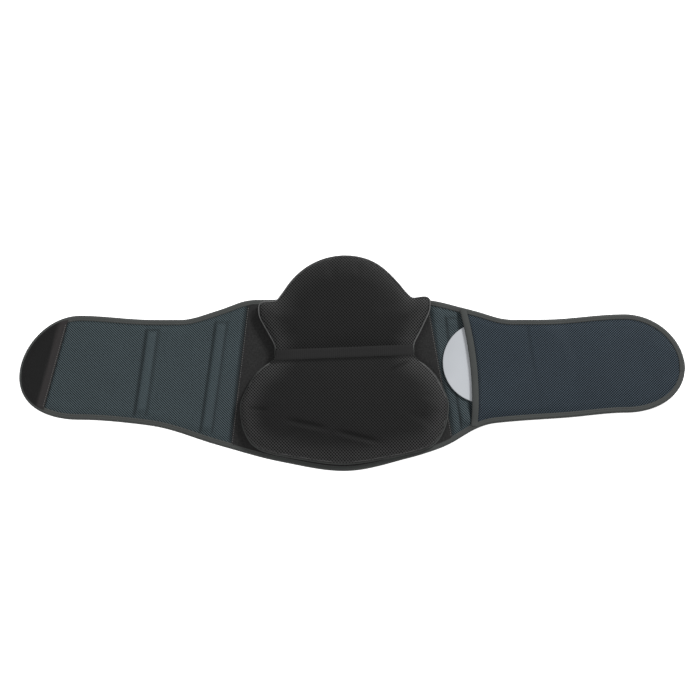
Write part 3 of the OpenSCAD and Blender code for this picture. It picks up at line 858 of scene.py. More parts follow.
def lining_seam_shade(x, y, z):
    """Painted shade on the lining: darker along its stitched lines, where the line left of each ridge
    stands for the ridge's shadow, at its edges by the binding, in a painted shadow beside the velour's
    edges and in the groove at the hook seam.
    """
    dark = 0.35 * np.exp(-((edge_distance(x, y, TAPE_W) / (1.6 * MM)) ** 2))
    for name in ("left_outer_stay", "left_inner_stay", "right_inner_stay"):
        low, high = stay_span(name)
        span = smooth(y, low - 4 * MM, low) * (1 - smooth(y, high, high + 4 * MM))
        for offset, depth in ((-8.5 * MM, 1.0), (8.5 * MM, 0.7)):
            dark = np.maximum(dark, depth * span * seam_line(x, y, STAYS[name], offset))
        ends = np.exp(-(((y - high) / (1.3 * MM)) ** 2)) * (np.abs(beside(STAYS[name], x, y)) < 9 * MM)
        dark = np.maximum(dark, 0.7 * ends)
    dark = np.maximum(dark, seam_line(x, y, VELOUR_LEFT, -1.5 * MM, 2.5 * MM))
    dark = np.maximum(dark, 0.8 * seam_line(x, y, VELOUR_RIGHT, 1.5 * MM, 2.5 * MM))
    return np.maximum(dark, 0.9 * seam_line(x, y, HOOK_SEAM, 0.8 * MM, 1.2 * MM))


def lining_pull(x, y, z):
    """The weave is drawn flat over the stays."""
    pull = 0 * x
    for name, most in (("left_outer_stay", 0.7), ("left_inner_stay", 0.45)):
        low, high = stay_span(name)
        pull = pull + ridge(x, y, STAYS[name], most, 13 * MM, low, high)
    return np.clip(pull, 0, 1)


# Painted shade on the pocket panel: darker at its edges by the binding, along a line beside the outer
# stay's ridge and in the join beside the mouth tape
def pocket_seam_shade(x, y, z):
    dark = 0.35 * np.exp(-((edge_distance(x, y, TAPE_W) / (1.6 * MM)) ** 2))
    low, high = stay_span("right_outer_stay")
    span = smooth(y, low + 20 * MM, high - 20 * MM)
    line = 0.35 * span * seam_line(x, y, STAYS["right_outer_stay"], -3 * MM, 2.5 * MM)
    return np.maximum(np.maximum(dark, line), 0.8 * seam_line(x, y, MOUTH_RIGHT, 1.0 * MM, 2 * MM))


def velour_top(x, y):
    out = np.minimum(beside(VELOUR_LEFT, x, y), -beside(VELOUR_RIGHT, x, y))
    return VELOUR_TOP - 0.9 * MM * (1 - smooth(out, 0, 2 * MM)) + 0.1 * MM * ripple(x, y, 0.07, 5)


def binding_top(x, y):
    """The tape lies over the lining, and climbs over the pocket panel from its mouth on."""
    s = bpy.context.scene.belt_sizes
    over = smooth(beside(MOUTH, x, y), -9 * MM, 4 * MM)
    here = pocket_top(x, y) * over + (TOP + 0.1 * MM) * (1 - over)
    return here + s.tape_rise * 0.8


# ---------------------------------------------------------------- outline as a path

PATH_STEP = 3 * MM


def outline_run(start, stop, side):
    """Points along the top or bottom edge from one cut to the next."""
    ends = []
    for line in (start, stop):
        xs = cross_points(line, 0.0, 2)[0]
        ends.append(xs[0] if side < 0 else xs[1])
    count = max(3, int(abs(ends[1] - ends[0]) / PATH_STEP))
    xs = np.linspace(ends[0], ends[1], count + 1)
    return np.stack([xs, edge(xs, side)], -1)


def tip_run(cut, tip):
    """Points round a rounded end, from the cut on the bottom edge to the cut on the top edge."""
    sign = 1 if tip > 0 else -1
    centre, middle, half, droop = ENDS[tip]
    parts = []
    for side in (-1, 1):
        xs = cross_points(cut, 0.0, 2)[0]
        x_cut = xs[0] if side < 0 else xs[1]
        count = max(3, int(abs(centre - x_cut) / PATH_STEP))
        straight = np.linspace(x_cut, centre, count + 1)[:-1]
        angles = np.linspace(0, math.pi / 2, 44)
        x = np.concatenate([straight, centre + sign * END_ROUND * np.sin(angles)])
        bent = middle + side * half * np.cos(angles) - droop * np.sin(angles) ** 2
        y = np.concatenate([edge(straight, side), bent])
        parts.append(np.stack([x, y], -1))
    return np.concatenate([parts[0], parts[1][::-1][1:]])


def distances(path):
    """Distance along a path to each of its points."""
    return np.concatenate([[0], np.cumsum(np.linalg.norm(np.diff(path, axis=0), axis=1))])


def normals_in(path, inward):
    """Unit normals of a path, pointing to the given side (1 is left of the way along)."""
    along = np.gradient(path, axis=0)
    along /= np.linalg.norm(along, axis=1)[:, None]
    return np.stack([-along[:, 1], along[:, 0]], -1) * inward


# How far in from the edge a strip's profile reads the cloth's height
PROFILE_PLACE = 9 * MM


def swept(name, path, inward, profile, slot):
    """A strip along a path: profile gives (distance in from the edge, height above 0) per point."""
    normal = normals_in(path, inward)
    verts, uvs, faces = [], [], []
    for p, n, u in zip(path, normal, distances(path)):
        section = profile(*(p + n * PROFILE_PLACE))
        v = 0.0
        last = None
        for d, z in section:
            q = p + n * d
            v += 0 if last is None else math.hypot(d - last[0], z - last[1])
            last = (d, z)
            verts.append((q[0], q[1], z))
            uvs.append((u, v))
    n, m = len(path), len(section)
    for i in range(n - 1):
        for j in range(m):
            k = (j + 1) % m
            faces.append((i * m + j, (i + 1) * m + j, (i + 1) * m + k, i * m + k))
    faces.append(tuple(range(m)))
    faces.append(tuple((n - 1) * m + j for j in range(m - 1, -1, -1)))
    return smooth_faces(tidy_mesh(new_object(name, verts, faces, uvs, slot=slot)), 60)


def tape_profile(x, y):
    """Cross-section of the folded binding tape at a place, rounded on its outer edge."""
    t = float(binding_top(np.array([x]), np.array([y]))[0])
    inner = t - 1.1 * MM
    return [
        (8.0 * MM, inner), (7.75 * MM, t - 0.35 * MM), (7.0 * MM, t), (6.0 * MM, t + 0.1 * MM),
        (5.2 * MM, t - 0.35 * MM), (4.4 * MM, t + 0.1 * MM), (3.0 * MM, t),
        (1.6 * MM, t - 0.35 * MM), (0.65 * MM, 0.78 * t), (0.15 * MM, 0.62 * t),
        (0, 0.46 * t), (0.2 * MM, 0.26 * t), (0.8 * MM, 0.1 * t), (2.0 * MM, 0.0),
        (7.6 * MM, 0.0), (8.0 * MM, 0.5 * MM),
    ]


STITCH_RADIUS = 0.32 * MM


def stitch_row(name, points, heights, slot_name="binding", look="dark_thread"):
    """A row of short stitches along a path, each a small capsule lying on the cloth."""
    s = bpy.context.scene.belt_sizes
    travelled = distances(points)
    verts, faces = [], []
    ring = [(math.cos(a), math.sin(a)) for a in np.linspace(0, 2 * math.pi, 6, endpoint=False)]
    shape = [(-0.5, 0.35), (-0.36, 0.9), (0, 1.0), (0.36, 0.9), (0.5, 0.35)]
    at = s.stitch_gap * 0.5
    while at + s.stitch_gap * 0.5 < travelled[-1]:
        centre = np.array([np.interp(at, travelled, points[:, k]) for k in (0, 1)])
        ahead = np.array([np.interp(at + 0.5 * MM, travelled, points[:, k]) for k in (0, 1)])
        z = float(np.interp(at, travelled, heights))
        way = (ahead - centre) / np.linalg.norm(ahead - centre)
        side = np.array([-way[1], way[0]])
        base = len(verts)
        for along, swell in shape:
            c = centre + way * along * s.stitch
            for ca, sa in ring:
                q = c + side * ca * STITCH_RADIUS * swell
                lift = (sa * swell - (1 - swell) * 0.8) * STITCH_RADIUS * 0.8
                verts.append((q[0], q[1], z + lift))
        k = len(ring)
        for i in range(len(shape) - 1):
            for j in range(k):
                a, b = base + i * k + j, base + i * k + (j + 1) % k
                faces.append((a, b, b + k, a + k))
        faces.append(tuple(base + j for j in range(k - 1, -1, -1)))
        faces.append(tuple(base + (len(shape) - 1) * k + j for j in range(k)))
        at += s.stitch_gap
    return smooth_faces(tidy_mesh(new_object(name, verts, faces, slot=slot_name, look=look)), 70)


def line_path(line, low, high):
    """Points on a line across the belt between two heights."""
    ys = np.linspace(low, high, max(3, int((high - low) / PATH_STEP)))
    return np.stack([line_x(line, ys), ys], -1)


# ---------------------------------------------------------------- operators

class Piece:
    """Shared settings of the operators that build the pieces."""

    bl_options = {"REGISTER", "UNDO"}


class BELT_OT_fabric(Piece, bpy.types.Operator):
    """Build the outer fabric and the mesh lining, in seven lengths"""

    bl_idname = "belt.fabric"
    bl_label = "Fabric"

    def execute(self, context):
        for entry in LENGTHS:
            name, start, stop = entry[0], CUTS[entry[1]], CUTS[entry[2]]
            shell = slab(
                name + ".outer_fabric", start, stop, BODY_INSET,
                lambda x, y: np.full_like(x, SHELL_TOP + 0.05 * MM),
                lambda x, y: 0.35 * MM - 0.3 * MM * smooth(edge_distance(x, y, TAPE_W), 0, 6 * MM),
                "outer_loop", step=6 * MM,
            )
            lining = slab(
                name + ".mesh_lining", start, stop, BODY_INSET, lining_top,
                lambda x, y: np.full_like(x, SHELL_TOP + 0.1 * MM), "wing_mesh",
            )
            # the lining's seam attribute holds painted shade
            shade_points(lining, lining_seam_shade, lining_pull)
            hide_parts(name + "_shell")
            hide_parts(name + "_lining")
            declare_sheet(start, stop, BODY_INSET)
            declare_sheet(start, stop, BODY_INSET)
            attach(shell, entry)
            attach(lining, entry)
            for stay in STAYS:
                if self.holds(stay, start, stop):
                    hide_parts(stay + "_tape")
        return {"FINISHED"}

    @staticmethod
    def holds(stay, start, stop):
        return start[0] < STAYS[stay][0] < stop[0]


class BELT_OT_binding(Piece, bpy.types.Operator):
    """Build the binding tape round the edge, with its stitching"""

    bl_idname = "belt.binding"
    bl_label = "Binding"

    def execute(self, context):
        for entry in LENGTHS:
            name, start, stop = entry[0], CUTS[entry[1]], CUTS[entry[2]]
            if name in ("left_end", "right_end"):
                cut, tip = (stop, LEFT_TIP) if name == "left_end" else (start, RIGHT_TIP)
                runs = [(name + ".binding", tip_run(cut, tip), 1 if tip > 0 else -1)]
            else:
                runs = [
                    (f"{name}.binding_{word}", outline_run(start, stop, side), -side)
                    for word, side in (("top", 1), ("bottom", -1))
                ]
            for run_name, path, inward in runs:
                tape = swept(run_name, path, inward, tape_profile, "binding")
                attach(tape, entry)
                seam = path + normals_in(path, inward) * 6.2 * MM
                z = binding_top(seam[:, 0], seam[:, 1]) + 0.12 * MM
                attach(stitch_row(run_name + "_stitches", seam, z), entry)
            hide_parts(name + "_binding")
        tip = tip_run(CUTS["right_front"], RIGHT_TIP)
        near = (np.abs(tip[:, 1] + 4 * MM) < 9 * MM) & (tip[:, 0] > RIGHT_JOIN)
        lap = swept("right_end.binding_lap", tip[near], 1, self.lap_profile, "binding")
        attach(lap, ENTRY["right_end"])
        return {"FINISHED"}

    @staticmethod
    def lap_profile(x, y):
        """The tape's end, lying over its start."""
        top = binding_top(np.array([x]), np.array([y]))[0]
        return [
            (d + (0.4 if d > 4 * MM else -0.3) * MM, z + 0.5 * MM if z > 0.7 * top else z)
            for d, z in tape_profile(x, y)
        ]


class BELT_OT_velour(Piece, bpy.types.Operator):
    """Build the brushed panel that the cushion sticks to"""

    bl_idname = "belt.velour"
    bl_label = "Velour panel"

    def execute(self, context):
        panel = slab("back.velour_panel", VELOUR_LEFT, VELOUR_RIGHT, BODY_INSET, velour_top,
                     lambda x, y: np.full_like(x, TOP + 0.02 * MM), "velour", step=3 * MM)
        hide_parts("velour_panel")
        declare_sheet(VELOUR_LEFT, VELOUR_RIGHT, BODY_INSET)
        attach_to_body(panel, "back")
        for word, edge_line, dx in (("left", VELOUR_LEFT, 1.6 * MM), ("right", VELOUR_RIGHT, -1.6 * MM)):
            line = moved(edge_line, dx)
            ys = cross_points(line, 9 * MM, 2)[1]
            path = line_path(line, ys[0], ys[1])
            row = stitch_row("back.velour_stitches_" + word, path,
                             velour_top(path[:, 0], path[:, 1]) + 0.1 * MM, "velour", "thread")
            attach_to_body(row, "back")
        return {"FINISHED"}


class BELT_OT_pocket(Piece, bpy.types.Operator):
    """Build the pocket panel of the right wing and the tape along its mouth"""

    bl_idname = "belt.pocket"
    bl_label = "Pocket"

    def execute(self, context):
        mouth = moved(MOUTH, 3 * MM)
        near, far = ENTRY["right_front"], ENTRY["right_end"]
        parts = [
            ("right_front.pocket_panel", mouth, CUTS["right_front"], near, ["right_side_pocket"]),
            ("right_end.pocket_panel", CUTS["right_front"], CUTS["right_tip"], far,
             ["right_front_pocket", "right_end_pocket"]),
        ]
        for name, start, stop, entry, nodes in parts:
            panel = slab(name, start, stop, BODY_INSET, pocket_top, pocket_under, "wing_mesh",
                         look="pocket_mesh")
            # painted shade at the pocket panel's edges and joins
            shade_points(panel, pocket_seam_shade)
            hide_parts(*nodes)
            declare_sheet(start, stop, BODY_INSET)
            attach(panel, entry)
        low = cross_points(MOUTH, 7 * MM, 2)[1][0]
        high = cross_points(MOUTH, 5.5 * MM, 2)[1][1]
        path = line_path(MOUTH, low, high)
        width = MOUTH_RIGHT[0] - MOUTH[0]

        def profile(x, y):
            at = (np.array([x]), np.array([y]))
            curl = 1.6 * MM * float(smooth(y, high - 14 * MM, high - 3 * MM))
            t = float(max(pocket_top(*at)[0], binding_top(*at)[0] - 0.4 * MM)) + 1.0 * MM + curl
            b = float(pocket_under(np.array([x]), np.array([y]))[0])
            return [
                (width, t - 1.2 * MM), (width - 0.3 * MM, t - 0.3 * MM), (width - 1.2 * MM, t),
                (width * 0.5, t + 0.25 * MM), (1.4 * MM, t), (0.5 * MM, t - 0.5 * MM),
                (0.05 * MM, (t + b) / 2 + 0.2 * MM), (0.15 * MM, b + 0.5 * MM), (0.8 * MM, b),
                (width - 0.4 * MM, b), (width, b + 0.4 * MM),
            ]

        tape = swept("right_side.mouth_tape", path, -1, profile, "binding")
        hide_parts("pocket_mouth_tape")
        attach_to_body(tape, "right_side")
        seam = path + normals_in(path, -1) * (width - 1.8 * MM)
        z = pocket_top(seam[:, 0], seam[:, 1]) + 1.0 * MM
        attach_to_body(stitch_row("right_side.mouth_stitches_inner", seam, z, look="thread"), "right_side")
        return {"FINISHED"}


class BELT_OT_hook(Piece, bpy.types.Operator):
    """Build the hook patch of the left end, with a painted highlight on its bevelled strip along the seam,
    and the stitches there
    """

    bl_idname = "belt.hook"
    bl_label = "Hook patch"

    def execute(self, context):
        def top(x, y):
            d = edge_distance(x, y, TAPE_W)
            bevel = smooth(-beside(HOOK_SEAM, x, y), 0, 11 * MM)
            low_edge = 1.0 * MM * smooth(edge_distance(x, y, 3.4 * MM), 0, 2.5 * MM)
            return TOP + 0.7 * MM + low_edge + 1.4 * MM * bevel * smooth(d, -4 * MM, 9 * MM)

        patch = slab("left_end.hook_patch", CUTS["left_tip"], HOOK_SEAM, 3.4 * MM, top,
                     lambda x, y: np.full_like(x, TOP - 0.3 * MM), "hook", step=2 * MM)
        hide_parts("hook_patch")
        # marks the strip along the seam that is painted lighter as a painted highlight
        shade_points(patch, None, lambda x, y, z: 1 - smooth(-beside(HOOK_SEAM, x, y), 9 * MM, 13 * MM))
        declare_sheet(CUTS["left_tip"], HOOK_SEAM, 3.4 * MM)
        attach(patch, ENTRY["left_end"])
        low, high = cross_points(HOOK_SEAM, 8.5 * MM, 2)[1]
        path = line_path(moved(HOOK_SEAM, -1.6 * MM), low, high)
        heights = top(path[:, 0], path[:, 1]) + 0.1 * MM
        attach(stitch_row("left_end.hook_stitches", path, heights, "hook", "thread"),
               ENTRY["left_end"])
        return {"FINISHED"}


# ---------------------------------------------------------------- cushion

PAD_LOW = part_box("pad_back")[0]
PAD_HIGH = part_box("pad_cover")[1]
PAD_MIDDLE = (PAD_LOW[0] + PAD_HIGH[0]) / 2
BAND_LOW, BAND_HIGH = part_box("pad_cross_band")
BAND_MIDDLE = (BAND_LOW + BAND_HIGH) / 2
BAND_W = 15 * MM
BAND_DROP = 3 * MM
BAND_THICK = 2.2 * MM


def resampled(loop, step):
    closed = np.concatenate([loop, loop[:1]])
    travelled = distances(closed)
    count = int(travelled[-1] / step)
    at = np.linspace(0, travelled[-1], count, endpoint=False)
    return np.stack([np.interp(at, travelled, closed[:, k]) for k in (0, 1)], -1)


def softened(loop, rounds):
    for _ in range(rounds):
        loop = (np.roll(loop, 1, 0) + 2 * loop + np.roll(loop, -1, 0)) / 4
    return loop


def band_offset(x, y):
    """Distance from the middle of the band."""
    return y - band_y(x)


def band_y(x):
    """Middle of the band at x."""
    return BAND_MIDDLE.y - BAND_DROP + (x - BAND_MIDDLE.x) * BAND_SLOPE


def band_slope():
    loop = flat_loop("pad_cross_band", "high")
    left = loop[loop[:, 0] < loop[:, 0].min() + 0.03]
    right = loop[loop[:, 0] > loop[:, 0].max() - 0.03]
    return (right.mean(0)[1] - left.mean(0)[1]) / (right.mean(0)[0] - left.mean(0)[0])


BAND_SLOPE = band_slope()


def crease(x, y, a, b, depth, width):
    """A fold in the cover from a to b, deepest in the middle."""
    ax, ay = a
    bx, by = b
    size = (bx - ax) ** 2 + (by - ay) ** 2
    t = ((x - ax) * (bx - ax) + (y - ay) * (by - ay)) / size
    off = (x - ax - t * (bx - ax)) * (by - ay) - (y - ay - t * (by - ay)) * (bx - ax)
    off = off / math.sqrt(size)
    fade = smooth(t, -0.15, 0.3) * (1 - smooth(t, 0.7, 1.15))
    dip = np.exp(-((off / width) ** 2))
    roll = np.exp(-(((off - 2 * width) / width) ** 2))
    return depth * fade * (0.6 * roll - dip)


CREASES = [
    ((-0.092, -0.082), (-0.036, -0.094), 2.3 * MM, 3.2 * MM),
    ((-0.022, -0.098), (0.038, -0.113), 2.3 * MM, 3.2 * MM),
    ((0.050, -0.014), (0.082, 0.002), 1.0 * MM, 2.6 * MM),
    ((-0.148, -0.064), (-0.118, -0.068), 0.8 * MM, 2.4 * MM),
]


def cushion_loop():
    """The cushion's outline: its right shoulder higher than its left, its lower lobe tapered."""
    loop = resampled(flat_loop("pad_back"), 3 * MM)
    x, y = loop.T
    lift = 5 * MM * smooth(x, 0.055, 0.105) * smooth(y, 0.035, 0.078)
    flank = 4.2 * MM * np.exp(-(((x - 0.066) / 0.025) ** 2)) * smooth(y, 0.075, 0.1)
    taper = 1 - 0.013 * smooth(-y, 0.02, 0.1)
    return softened(np.stack([PAD_MIDDLE + (x - PAD_MIDDLE) * taper, y + lift - flank], -1), 3)


def cushion_body(loop, wall, slope):
    """A plain block with the cushion's outline and sloped walls."""
    n = len(loop)
    along = np.roll(loop, -1, 0) - np.roll(loop, 1, 0)
    along /= np.linalg.norm(along, axis=1)[:, None]
    area = (loop[:, 0] * np.roll(loop[:, 1], -1) - loop[:, 1] * np.roll(loop[:, 0], -1)).sum()
    inward = np.stack([-along[:, 1], along[:, 0]], -1) * math.copysign(1, area)
    rim = softened(loop + inward * slope, 4)
    foot = softened(loop - inward * 2.2 * MM, 2)
    base, knee, shoulder = PAD_LOW[2], PAD_LOW[2] + wall * 0.42, PAD_LOW[2] + wall
    bm = bmesh.new()
    low = [bm.verts.new((x, y, base)) for x, y in foot]
    middle = [bm.verts.new((x, y, knee)) for x, y in foot]
    high = [bm.verts.new((x, y, shoulder)) for x, y in rim]
    bm.faces.new(low[::-1])
    bm.faces.new(high)
    for i in range(n):
        k = (i + 1) % n
        bm.faces.new((low[i], low[k], middle[k], middle[i]))
        bm.faces.new((middle[i], middle[k], high[k], high[i]))
    bmesh.ops.recalc_face_normals(bm, faces=bm.faces)
    mesh = bpy.data.meshes.new("pad.cushion")
    bm.to_mesh(mesh)
    bm.free()
    obj = bpy.data.objects.new("pad.cushion", mesh)
    bpy.context.scene.collection.objects.link(obj)
    return obj


def apply_all(obj):
    deselect()
    obj.select_set(True)
    bpy.context.view_layer.objects.active = obj
    for modifier in list(obj.modifiers):
        bpy.ops.object.modifier_apply(modifier=modifier.name)


def coords(obj):
    out = np.empty(len(obj.data.vertices) * 3)
    obj.data.vertices.foreach_get("co", out)
    return out.reshape(-1, 3)


def set_coords(obj, points):
    obj.data.vertices.foreach_set("co", points.ravel())
    obj.data.update()


def inflate(obj, rest):
    """Lets the cover swell under its filling's pressure, with its base and the band's line held."""
    held = obj.vertex_groups.new(name="held")
    for i, (x, y, z) in enumerate(rest):
        off = abs(band_offset(x, y))
        weight = 1.0 if z < PAD_LOW[2] + 1.5 * MM else 0.0
        if z > PAD_LOW[2] + 8 * MM and off < BAND_W * 0.45:
            weight = 1.0
        if weight:
            held.add([i], weight, "REPLACE")
    cloth = obj.modifiers.new("cloth", "CLOTH")
    settings = cloth.settings
    settings.quality = 6
    settings.mass = 0.25
    settings.tension_stiffness = settings.compression_stiffness = 12
    settings.shear_stiffness = 6
    settings.bending_stiffness = 1.0
    settings.use_pressure = True
    settings.uniform_pressure_force = 4
    settings.vertex_group_mass = "held"
    settings.effector_weights.gravity = 0
    cloth.collision_settings.use_collision = False
    cloth.point_cache.frame_start = 1
    cloth.point_cache.frame_end = 20
    scene = bpy.context.scene
    for f in range(1, 21):
        scene.frame_set(f)
    depsgraph = bpy.context.evaluated_depsgraph_get()
    shaped = obj.evaluated_get(depsgraph)
    out = np.empty(len(rest) * 3)
    shaped.data.vertices.foreach_get("co", out)
    obj.modifiers.remove(cloth)
    scene.frame_set(1)
    return out.reshape(-1, 3)


def cushion_painted_shade(x, y, z):
    """Painted shade on the cushion: a painted shadow under the band's lower edge, and painted shade in the
    creases.
    """
    dark = 0.9 * np.exp(-(((band_offset(x, y) + BAND_W * 0.62) / (2.2 * MM)) ** 2))
    for a, b, _, width in CREASES:
        dark = np.maximum(dark, np.clip(-crease(x, y, a, b, 0.55, width), 0, 1))
    return dark


def cushion_pull_and_highlight(x, y, inside):
    """Pull round the cover's edge, most at the lower lobe and at the shoulders: partly the stretch of the
    cover, partly a painted highlight on its rim and lit shoulders.
    """
    rim = 1 - smooth(inside, 4 * MM, 36 * MM)
    lobe = 1 - smooth(y, -0.02, 0.06)
    shoulder = smooth(np.abs(x - PAD_MIDDLE), 0.065, 0.1) * (1 - lobe)
    return 0.08 + rim * (0.3 + 0.42 * lobe + 0.35 * shoulder)


class BELT_OT_cushion(Piece, bpy.types.Operator):
    """Build the padded cushion, swollen by a cloth simulation"""

    bl_idname = "belt.cushion"
    bl_label = "Cushion"

    def execute(self, context):
        s = context.scene.belt_sizes
        wall = PAD_HIGH[2] - PAD_LOW[2] - 5.5 * MM
        loop = cushion_loop()
        cushion = cushion_body(loop, wall, s.cushion_slope)
        remesh = cushion.modifiers.new("remesh", "REMESH")
        remesh.mode = "VOXEL"
        remesh.voxel_size = s.cushion_voxel
        even = cushion.modifiers.new("even", "SMOOTH")
        even.factor, even.iterations = 0.5, 6
        apply_all(cushion)
        rest = coords(cushion)
        # soft doming before the simulation, so that the swelling starts evenly
        inside = self.inside(loop, rest)
        top = smooth(rest[:, 2], PAD_LOW[2] + wall * 0.6, PAD_LOW[2] + wall)
        groove = np.exp(-((band_offset(rest[:, 0], rest[:, 1]) / (BAND_W * 0.62)) ** 4))
        rest[:, 2] += top * (2.2 * MM * smooth(inside, 0, 26 * MM) - 2.6 * MM * groove)
        set_coords(cushion, rest)
        swollen = inflate(cushion, rest)
        move = swollen - rest
        flat = np.linalg.norm(move[:, :2], axis=1)
        move[:, :2] *= np.minimum(1, 1.2 * MM / np.maximum(flat, 1e-9))[:, None]
        limit = s.cushion_rise * smooth(inside, -2 * MM, 30 * MM)
        lift = move[:, 2]
        move[:, 2] = np.where(lift > 0, limit * np.tanh(lift / np.maximum(limit, 1e-6)), 0)
        rest = rest + move
        rest[:, 2] = np.maximum(rest[:, 2], PAD_LOW[2])
        set_coords(cushion, rest)
        finer = cushion.modifiers.new("finer", "SUBSURF")
        finer.levels = finer.render_levels = 1
        apply_all(cushion)
        shaped = coords(cushion)
        x, y, z = shaped.T
        inside = self.inside(loop, shaped)
        top = smooth(z, PAD_LOW[2] + 10 * MM, PAD_LOW[2] + 15 * MM)
        change = 0.25 * MM * ripple(x, y, 0.045, 21)
        for a, b, depth, width in CREASES:
            change = change + crease(x, y, a, b, depth, width)
        shaped[:, 2] += top * change
        set_coords(cushion, shaped)
        # on the cushion, seam is painted shade and pull is partly a painted highlight
        shade_points(cushion, cushion_painted_shade, lambda x, y, z: cushion_pull_and_highlight(x, y, inside))
        self.paint(cushion)
        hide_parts("pad_cover", "pad_back", "pad_upper_foam", "pad_lower_foam")
        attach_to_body(cushion, "pad")
        smooth_faces(cushion, 180)
        return {"FINISHED"}

    @staticmethod
    def inside(loop, points):
        """Distance in from the outline."""
        dense = resampled(loop, 0.8 * MM)
        tree = KDTree(len(dense))
        for i, (x, y) in enumerate(dense):
            tree.insert((x, y, 0), i)
        tree.balance()
        return np.array([tree.find((x, y, 0))[2] for x, y, z in points])

    @staticmethod
    def paint(cushion):
        """Mesh on the top, plain knit on the side wall and the underside."""
        mesh = cushion.data
        mesh.materials.append(finish_of("pad_mesh"))
        mesh.materials.append(finish_of("pad_side"))
        for polygon in mesh.polygons:
            polygon.material_index = 0 if polygon.normal.z > 0.45 else 1
        layer = mesh.uv_layers.new(name="Cloth")
        for polygon in mesh.polygons:
            for i in polygon.loop_indices:
                co = mesh.vertices[mesh.loops[i].vertex_index].co
                layer.data[i].uv = (co.x, co.y)


def cord_round(name, loop, z, radius, slot, look=None):
    """A closed cord along a loop, lying at one height."""
    n, m = len(loop), 8
    along = np.roll(loop, -1, 0) - np.roll(loop, 1, 0)
    along /= np.linalg.norm(along, axis=1)[:, None]
    side = np.stack([-along[:, 1], along[:, 0]], -1)
    angles = np.linspace(0, 2 * math.pi, m, endpoint=False)
    verts, uvs, faces = [], [], []
    for p, w, u in zip(loop, side, distances(loop)):
        for k, a in enumerate(angles):
            q = p + w * math.cos(a) * radius
            verts.append((q[0], q[1], z + math.sin(a) * radius))
            uvs.append((u, radius * a))
    for i in range(n):
        j = (i + 1) % n
        for k in range(m):
            after = (k + 1) % m
            faces.append((i * m + k, j * m + k, j * m + after, i * m + after))
    return smooth_faces(tidy_mesh(new_object(name, verts, faces, uvs, slot=slot, look=look)), 80)


class BELT_OT_welt(Piece, bpy.types.Operator):
    """Build the welt along the cushion's lower seam and the piping above it"""

    bl_idname = "belt.welt"
    bl_label = "Welt"

    def execute(self, context):
        loop = cushion_loop()
        welt = cord_round("pad.welt", loop * 1.002, PAD_LOW[2] + 2.2 * MM, 1.3 * MM, "binding")
        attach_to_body(welt, "pad")
        height = PAD_LOW[2] + 0.42 * (PAD_HIGH[2] - PAD_LOW[2])
        # it stands out from the upper lobe and sinks into the wall of the lower one
        share = 0.984 + 0.021 * smooth(loop[:, 1] - band_y(0), -5 * MM, 20 * MM)
        path = loop * share[:, None]
        piping = cord_round("pad.piping", path, height, 0.9 * MM, "binding", "piping")
        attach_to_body(piping, "pad")
        return {"FINISHED"}


class BELT_OT_band(Piece, bpy.types.Operator):
    """Build the ribbed band across the cushion's waist"""

    bl_idname = "belt.band"
    bl_label = "Cross band"

    def execute(self, context):
        cushion = bpy.data.objects["pad.cushion"]
        mesh = cushion.data
        tree = BVHTree.FromPolygons([v.co.copy() for v in mesh.vertices],
                                    [tuple(p.vertices) for p in mesh.polygons])
        ends = []
        for way in (-1, 1):
            hit = tree.ray_cast(Vector((way, band_y(way * 0.09), PAD_LOW[2] + 5 * MM)),
                                Vector((-way, 0, 0)))[0]
            ends.append(hit.x)
        columns, rows = 110, 9
        xs = np.linspace(ends[0] + 0.6 * MM, ends[1] - 0.6 * MM, columns)
        ts = np.linspace(-0.5, 0.5, rows)
        verts = []
        for x in xs:
            heights = []
            for t in ts:
                y = band_y(x) + t * BAND_W
                hit = tree.ray_cast(Vector((x, y, 0.2)), Vector((0, 0, -1)))[0]
                heights.append(hit.z if hit is not None else PAD_LOW[2] + 10 * MM)
            for t, z in zip(ts, heights):
                y = band_y(x) + t * BAND_W
                round_edge = 1.0 - (2 * abs(t)) ** 6
                verts.append((x, y, 0.4 * z + 0.6 * max(heights) + (0.4 + 1.0 * round_edge) * MM))
        lower = [(x, y, z - BAND_THICK) for x, y, z in verts]
        faces = closed_grid(columns, rows)
        band = new_object("pad.cross_band", verts + lower, faces, slot="band")
        smooth_faces(tidy_mesh(band), 60)
        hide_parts("pad_cross_band")
        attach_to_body(band, "pad")
        return {"FINISHED"}


class BELT_OT_rigid(Piece, bpy.types.Operator):
    """Finish the plate, the stays, the cushion's stiffeners and the hook strips"""

    bl_idname = "belt.rigid"
    bl_label = "Plate and stays"

    def execute(self, context):
        for names, slot in (
            (["plate"], "plate_plastic"),
            (list(STAYS), "stay_steel"),
            (["pad_upper_plate", "pad_lower_plate"], "stiffener"),
            (["pad_hook_upper", "pad_hook_lower"], "plain_hook"),
        ):
            for name in names:
                data = NODES[name].data
                data.materials.clear()
                data.materials.append(finish_of(slot))
        return {"FINISHED"}


# ---------------------------------------------------------------- stage

def area_light(name, place, size, power):
    """A soft light turned to the belt's middle."""
    light = bpy.data.lights.new(name, "AREA")
    light.shape = "SQUARE"
    light.size = size
    light.energy = power
    obj = bpy.data.objects.new(name, light)
    obj.location = place
    obj.rotation_euler = (-Vector(place)).to_track_quat("-Z", "Y").to_euler()
    bpy.context.scene.collection.objects.link(obj)


FLOOR_SIZE = 14
CAMERA_AIM = (-0.003, 0.0192, 0.005)
CAMERA_RISE = math.radians(84)
CAMERA_AWAY = 2.36
CAMERA_LENS = 85


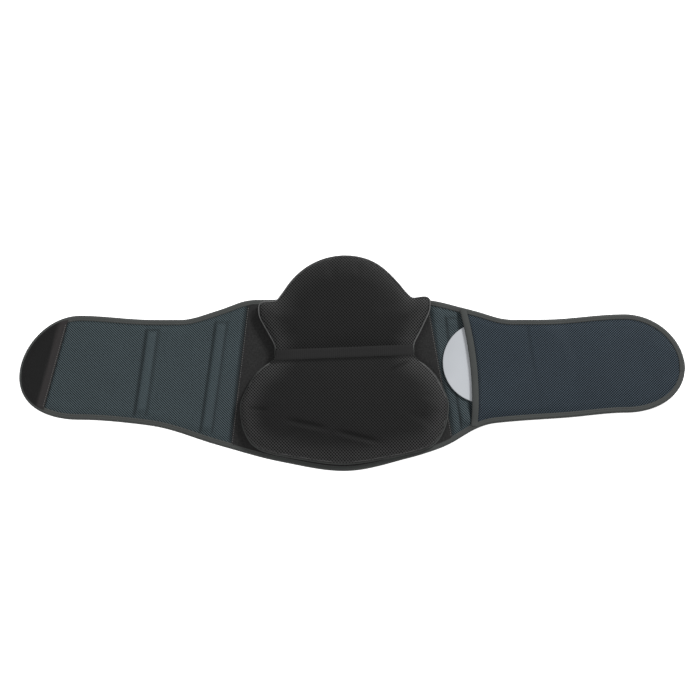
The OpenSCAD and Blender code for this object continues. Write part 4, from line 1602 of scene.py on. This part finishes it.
class BELT_OT_stage(Piece, bpy.types.Operator):
    """Set up the pale floor, the soft lights and the camera"""

    bl_idname = "belt.stage"
    bl_label = "Stage"

    def execute(self, context):
        scene = context.scene
        deselect()
        bpy.ops.mesh.primitive_plane_add(size=FLOOR_SIZE, location=(0, 0, -0.3 * MM))
        floor = context.object
        floor.name = "floor"
        floor.data.materials.append(finish_of("floor"))
        area_light("key", (2.0, 2.0, 1.9), 0.8, 150)
        area_light("fill", (-1.8, -0.6, 2.2), 1.8, 40)
        world = bpy.data.worlds.new("studio")
        world.use_nodes = True
        world.node_tree.nodes["Background"].inputs[0].default_value = (1, 1, 1, 1)
        world.node_tree.nodes["Background"].inputs[1].default_value = 0.5
        scene.world = world
        scene.view_settings.view_transform = "Standard"
        camera = bpy.data.cameras.new("camera")
        camera.lens = CAMERA_LENS
        camera.sensor_width = 36
        obj = bpy.data.objects.new("camera", camera)
        scene.collection.objects.link(obj)
        away = Vector((0, -math.cos(CAMERA_RISE), math.sin(CAMERA_RISE)))
        obj.location = Vector(CAMERA_AIM) + away * CAMERA_AWAY
        obj.rotation_euler = (-away).to_track_quat("-Z", "Y").to_euler()
        scene.camera = obj
        return {"FINISHED"}


class BELT_PT_panel(bpy.types.Panel):
    """Sizes, colours and the buttons that build the belt"""

    bl_label = "Lumbar belt"
    bl_idname = "BELT_PT_panel"
    bl_space_type = "VIEW_3D"
    bl_region_type = "UI"
    bl_category = "Belt"

    def draw(self, context):
        layout = self.layout
        for settings in (context.scene.belt_sizes, context.scene.belt_colours):
            box = layout.box()
            for name in settings.__annotations__:
                box.prop(settings, name)
        for operator in STEPS:
            layout.operator(operator.bl_idname)


STEPS = [
    BELT_OT_fabric,
    BELT_OT_binding,
    BELT_OT_velour,
    BELT_OT_hook,
    BELT_OT_pocket,
    BELT_OT_cushion,
    BELT_OT_welt,
    BELT_OT_band,
    BELT_OT_rigid,
    BELT_OT_stage,
]
CLASSES = [BeltSizes, BeltColours, *STEPS, BELT_PT_panel]


def register():
    for cls in CLASSES:
        bpy.utils.register_class(cls)
    bpy.types.Scene.belt_sizes = bpy.props.PointerProperty(type=BeltSizes)
    bpy.types.Scene.belt_colours = bpy.props.PointerProperty(type=BeltColours)


def unregister():
    del bpy.types.Scene.belt_colours
    del bpy.types.Scene.belt_sizes
    for cls in reversed(CLASSES):
        bpy.utils.unregister_class(cls)


def main():
    register()
    deselect()
    bpy.ops.belt.fabric()
    bpy.ops.belt.binding()
    bpy.ops.belt.velour()
    bpy.ops.belt.hook()
    bpy.ops.belt.pocket()
    bpy.ops.belt.cushion()
    bpy.ops.belt.welt()
    bpy.ops.belt.band()
    bpy.ops.belt.rigid()
    bpy.ops.belt.stage()


if __name__ == "__main__":
    main()
